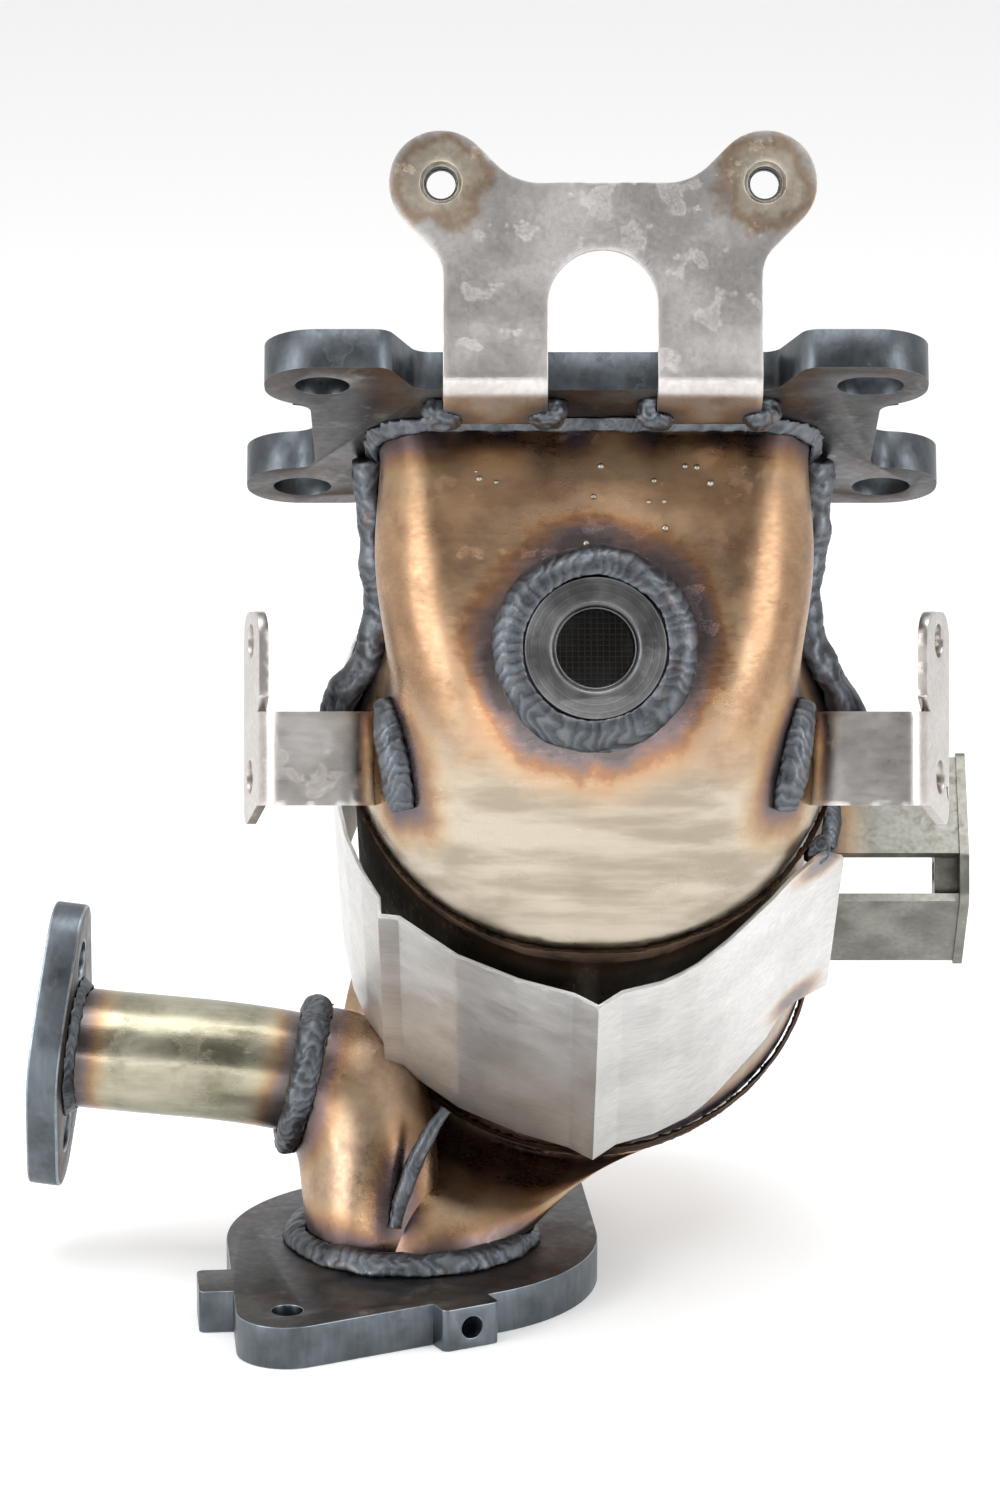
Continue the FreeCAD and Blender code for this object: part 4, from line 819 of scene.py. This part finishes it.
front = dress("front_shell", "shell_steel", longest=2.2 * MM, hot=SEAMS, hollow=DOME_RUN)
dress("back_shell", "shell_steel", longest=2.6 * MM, hot=SEAMS, hollow=DOME_RUN)
dress("can_shell", "can_steel", longest=6 * MM, hot=RIMS)
dress("outlet_shell", "outlet_steel", longest=2.2 * MM, hot=OUTLET_WELDS)
dress("side_pipe", "pipe_steel", longest=2.2 * MM, hot=OUTLET_WELDS)
dress("heat_shield", "shield_steel", longest=2.6 * MM, bevel=0.12 * MM, hot=SHIELD_TACKS)
# The flanges' third look, on their softened edges, is a painted highlight.
for flange, facing in FLANGE_AXES.items():
    dress(flange, "flange_steel", "flange_face", bevel=0.5 * MM, edge_looks=("flange_edge", "flange_rim_painted_highlight"),
          axis=facing)
dress("sensor_bung", "bung_steel", bevel=0.4 * MM)
dress("top_bracket", "bracket_steel", longest=2.2 * MM, bevel=0.15 * MM, hot=BRACKET_TACKS)
for side in ("left", "right"):
    dress(side + "_ear_bracket", "bracket_steel", "ear_steel", longest=2.2 * MM, bevel=0.15 * MM,
          hot=(side + "_ear_weld",))
    dress("weld_nut_" + side, "nut_zinc", bevel=0.2 * MM)
dress("stay_bracket", "stay_zinc", longest=2.2 * MM, bevel=0.2 * MM, hot=("stay_weld",))
dress("stay_nut", "stay_zinc", longest=3 * MM, bevel=0.2 * MM, hot=("stay_weld",))
dress("catalyst_brick", "brick_ceramic")
dress("support_mat", "mat_fibre")
for number, weld in enumerate(sorted(WELDS)):
    lay_bead(weld, number * 7)
lay_spatter(front)

# The sensor's thread is M18 x 1.5, and the nuts' is M8.
lay_thread("sensor_thread", 8.25 * MM, 1.5 * MM, 13 * MM, BUNG_PLACE - LEAN_OUT * 14 * MM, "bung_steel")
for side in ("left", "right"):
    low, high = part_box("weld_nut_" + side)
    start = (low + high) / 2 - LEAN_OUT * 2.5 * MM
    lay_thread("nut_thread_" + side, 3.3 * MM, 1.25 * MM, 5 * MM, start, "nut_zinc")


# ---------------------------------------------------------------- stage


def aim(thing, target):
    thing.rotation_euler = (target - thing.location).to_track_quat("-Z", "Y").to_euler()


def lamp(name, place, size, watts):
    light = bpy.data.lights.new(name, "AREA")
    light.shape, light.size, light.size_y, light.energy = "RECTANGLE", size[0], size[1], watts
    made = bpy.data.objects.new(name, light)
    bpy.context.scene.collection.objects.link(made)
    made.location = TARGET + Vector(place)
    aim(made, TARGET)


def seen_directly(web):
    """1 for what the camera, a gloss or a clear piece sees, and 0 for the light that falls on the object."""
    ray = web.node("ShaderNodeLightPath").outputs
    mirrored = web.math("MAXIMUM", ray["Is Glossy Ray"], ray["Is Transmission Ray"])
    return web.math("MAXIMUM", ray["Is Camera Ray"], mirrored)


FLOOR_GLOW, FLOOR_HALF, FLOOR_DROP = 0.22, 6.0, 0.05 * MM


def make_floor():
    """A pale floor just under the part, lifted towards white to the eye."""
    material, web, shader = start_material("pale_floor")
    speck = web.noise(web.node("ShaderNodeTexCoord").outputs["Object"], 300.0, 3.0)
    web.feed(shader.inputs["Base Color"], web.mix(speck, (0.90, 0.90, 0.90, 1), (0.93, 0.93, 0.93, 1)))
    web.feed(shader.inputs["Roughness"], web.between(speck, 0.0, 1.0, 0.7, 0.8, False))
    glow = (FLOOR_GLOW, FLOOR_GLOW, FLOOR_GLOW, 1)
    shader.inputs["Emission Strength"].default_value = 1.0
    web.feed(shader.inputs["Emission Color"], web.mix(seen_directly(web), (0, 0, 0, 1), glow))
    grid = bmesh.new()
    bmesh.ops.create_grid(grid, x_segments=4, y_segments=4, size=FLOOR_HALF)
    bmesh.ops.translate(grid, vec=(0, 0, CAD_BOX[0].z - FLOOR_DROP), verts=grid.verts)
    floor = grid_object("pale_floor", grid)
    floor.data.materials.append(material)


FRONT_DIMNESS, LIGHT_DIMNESS = 0.30, 0.75


def make_world():
    """White behind the object and dimmer towards the camera's side, so that metal shows its shape."""
    world = bpy.data.worlds.new("studio")
    bpy.context.scene.world = world
    world.use_nodes = True
    web = Web(world.node_tree)
    sky = world.node_tree.nodes["Background"]
    way = web.node("ShaderNodeTexCoord").outputs["Generated"]
    depth = web.node("ShaderNodeSeparateXYZ", {"Vector": way}).outputs["Y"]
    around = web.between(depth, -0.95, 0.15, FRONT_DIMNESS, 1.0)
    share = web.between(seen_directly(web), 0.0, 1.0, LIGHT_DIMNESS, 1.0, False)
    web.feed(sky.inputs["Color"], (1, 1, 1, 1))
    web.feed(sky.inputs["Strength"], web.times(around, share))


# The camera looks along the leaning frame's Z axis through a long lens.
TARGET = Vector((19.46, -49.46, 133.9)) * MM
CAMERA_AWAY = 1.3
FRAME_HEIGHT, FOCAL_LENGTH, SENSOR_HEIGHT = 1500, 6240, 24

camera_data = bpy.data.cameras.new("camera")
camera = bpy.data.objects.new("camera", camera_data)
bpy.context.scene.collection.objects.link(camera)
camera_data.sensor_fit = "VERTICAL"
camera_data.sensor_height = SENSOR_HEIGHT
camera_data.lens = FOCAL_LENGTH / FRAME_HEIGHT * SENSOR_HEIGHT
camera_data.clip_start, camera_data.clip_end = 0.05, 30
camera_data.dof.use_dof = False
camera.location = TARGET + LEAN_OUT * CAMERA_AWAY
aim(camera, TARGET)
bpy.context.scene.camera = camera

# Each lamp's place from the target, its width and height in metres, and its power in watts.
lamp("left_softbox", (-1.1, -0.75, 0.35), (0.7, 1.3), 12)
lamp("right_softbox", (1.1, -0.75, 0.35), (0.7, 1.3), 10)
lamp("top_softbox", (0.0, -0.2, 1.3), (1.3, 0.8), 12)
lamp("low_fill", (-0.25, -1.25, -0.05), (0.8, 0.14), 1.6)
make_floor()
make_world()
bpy.context.scene.view_settings.view_transform = "Standard"
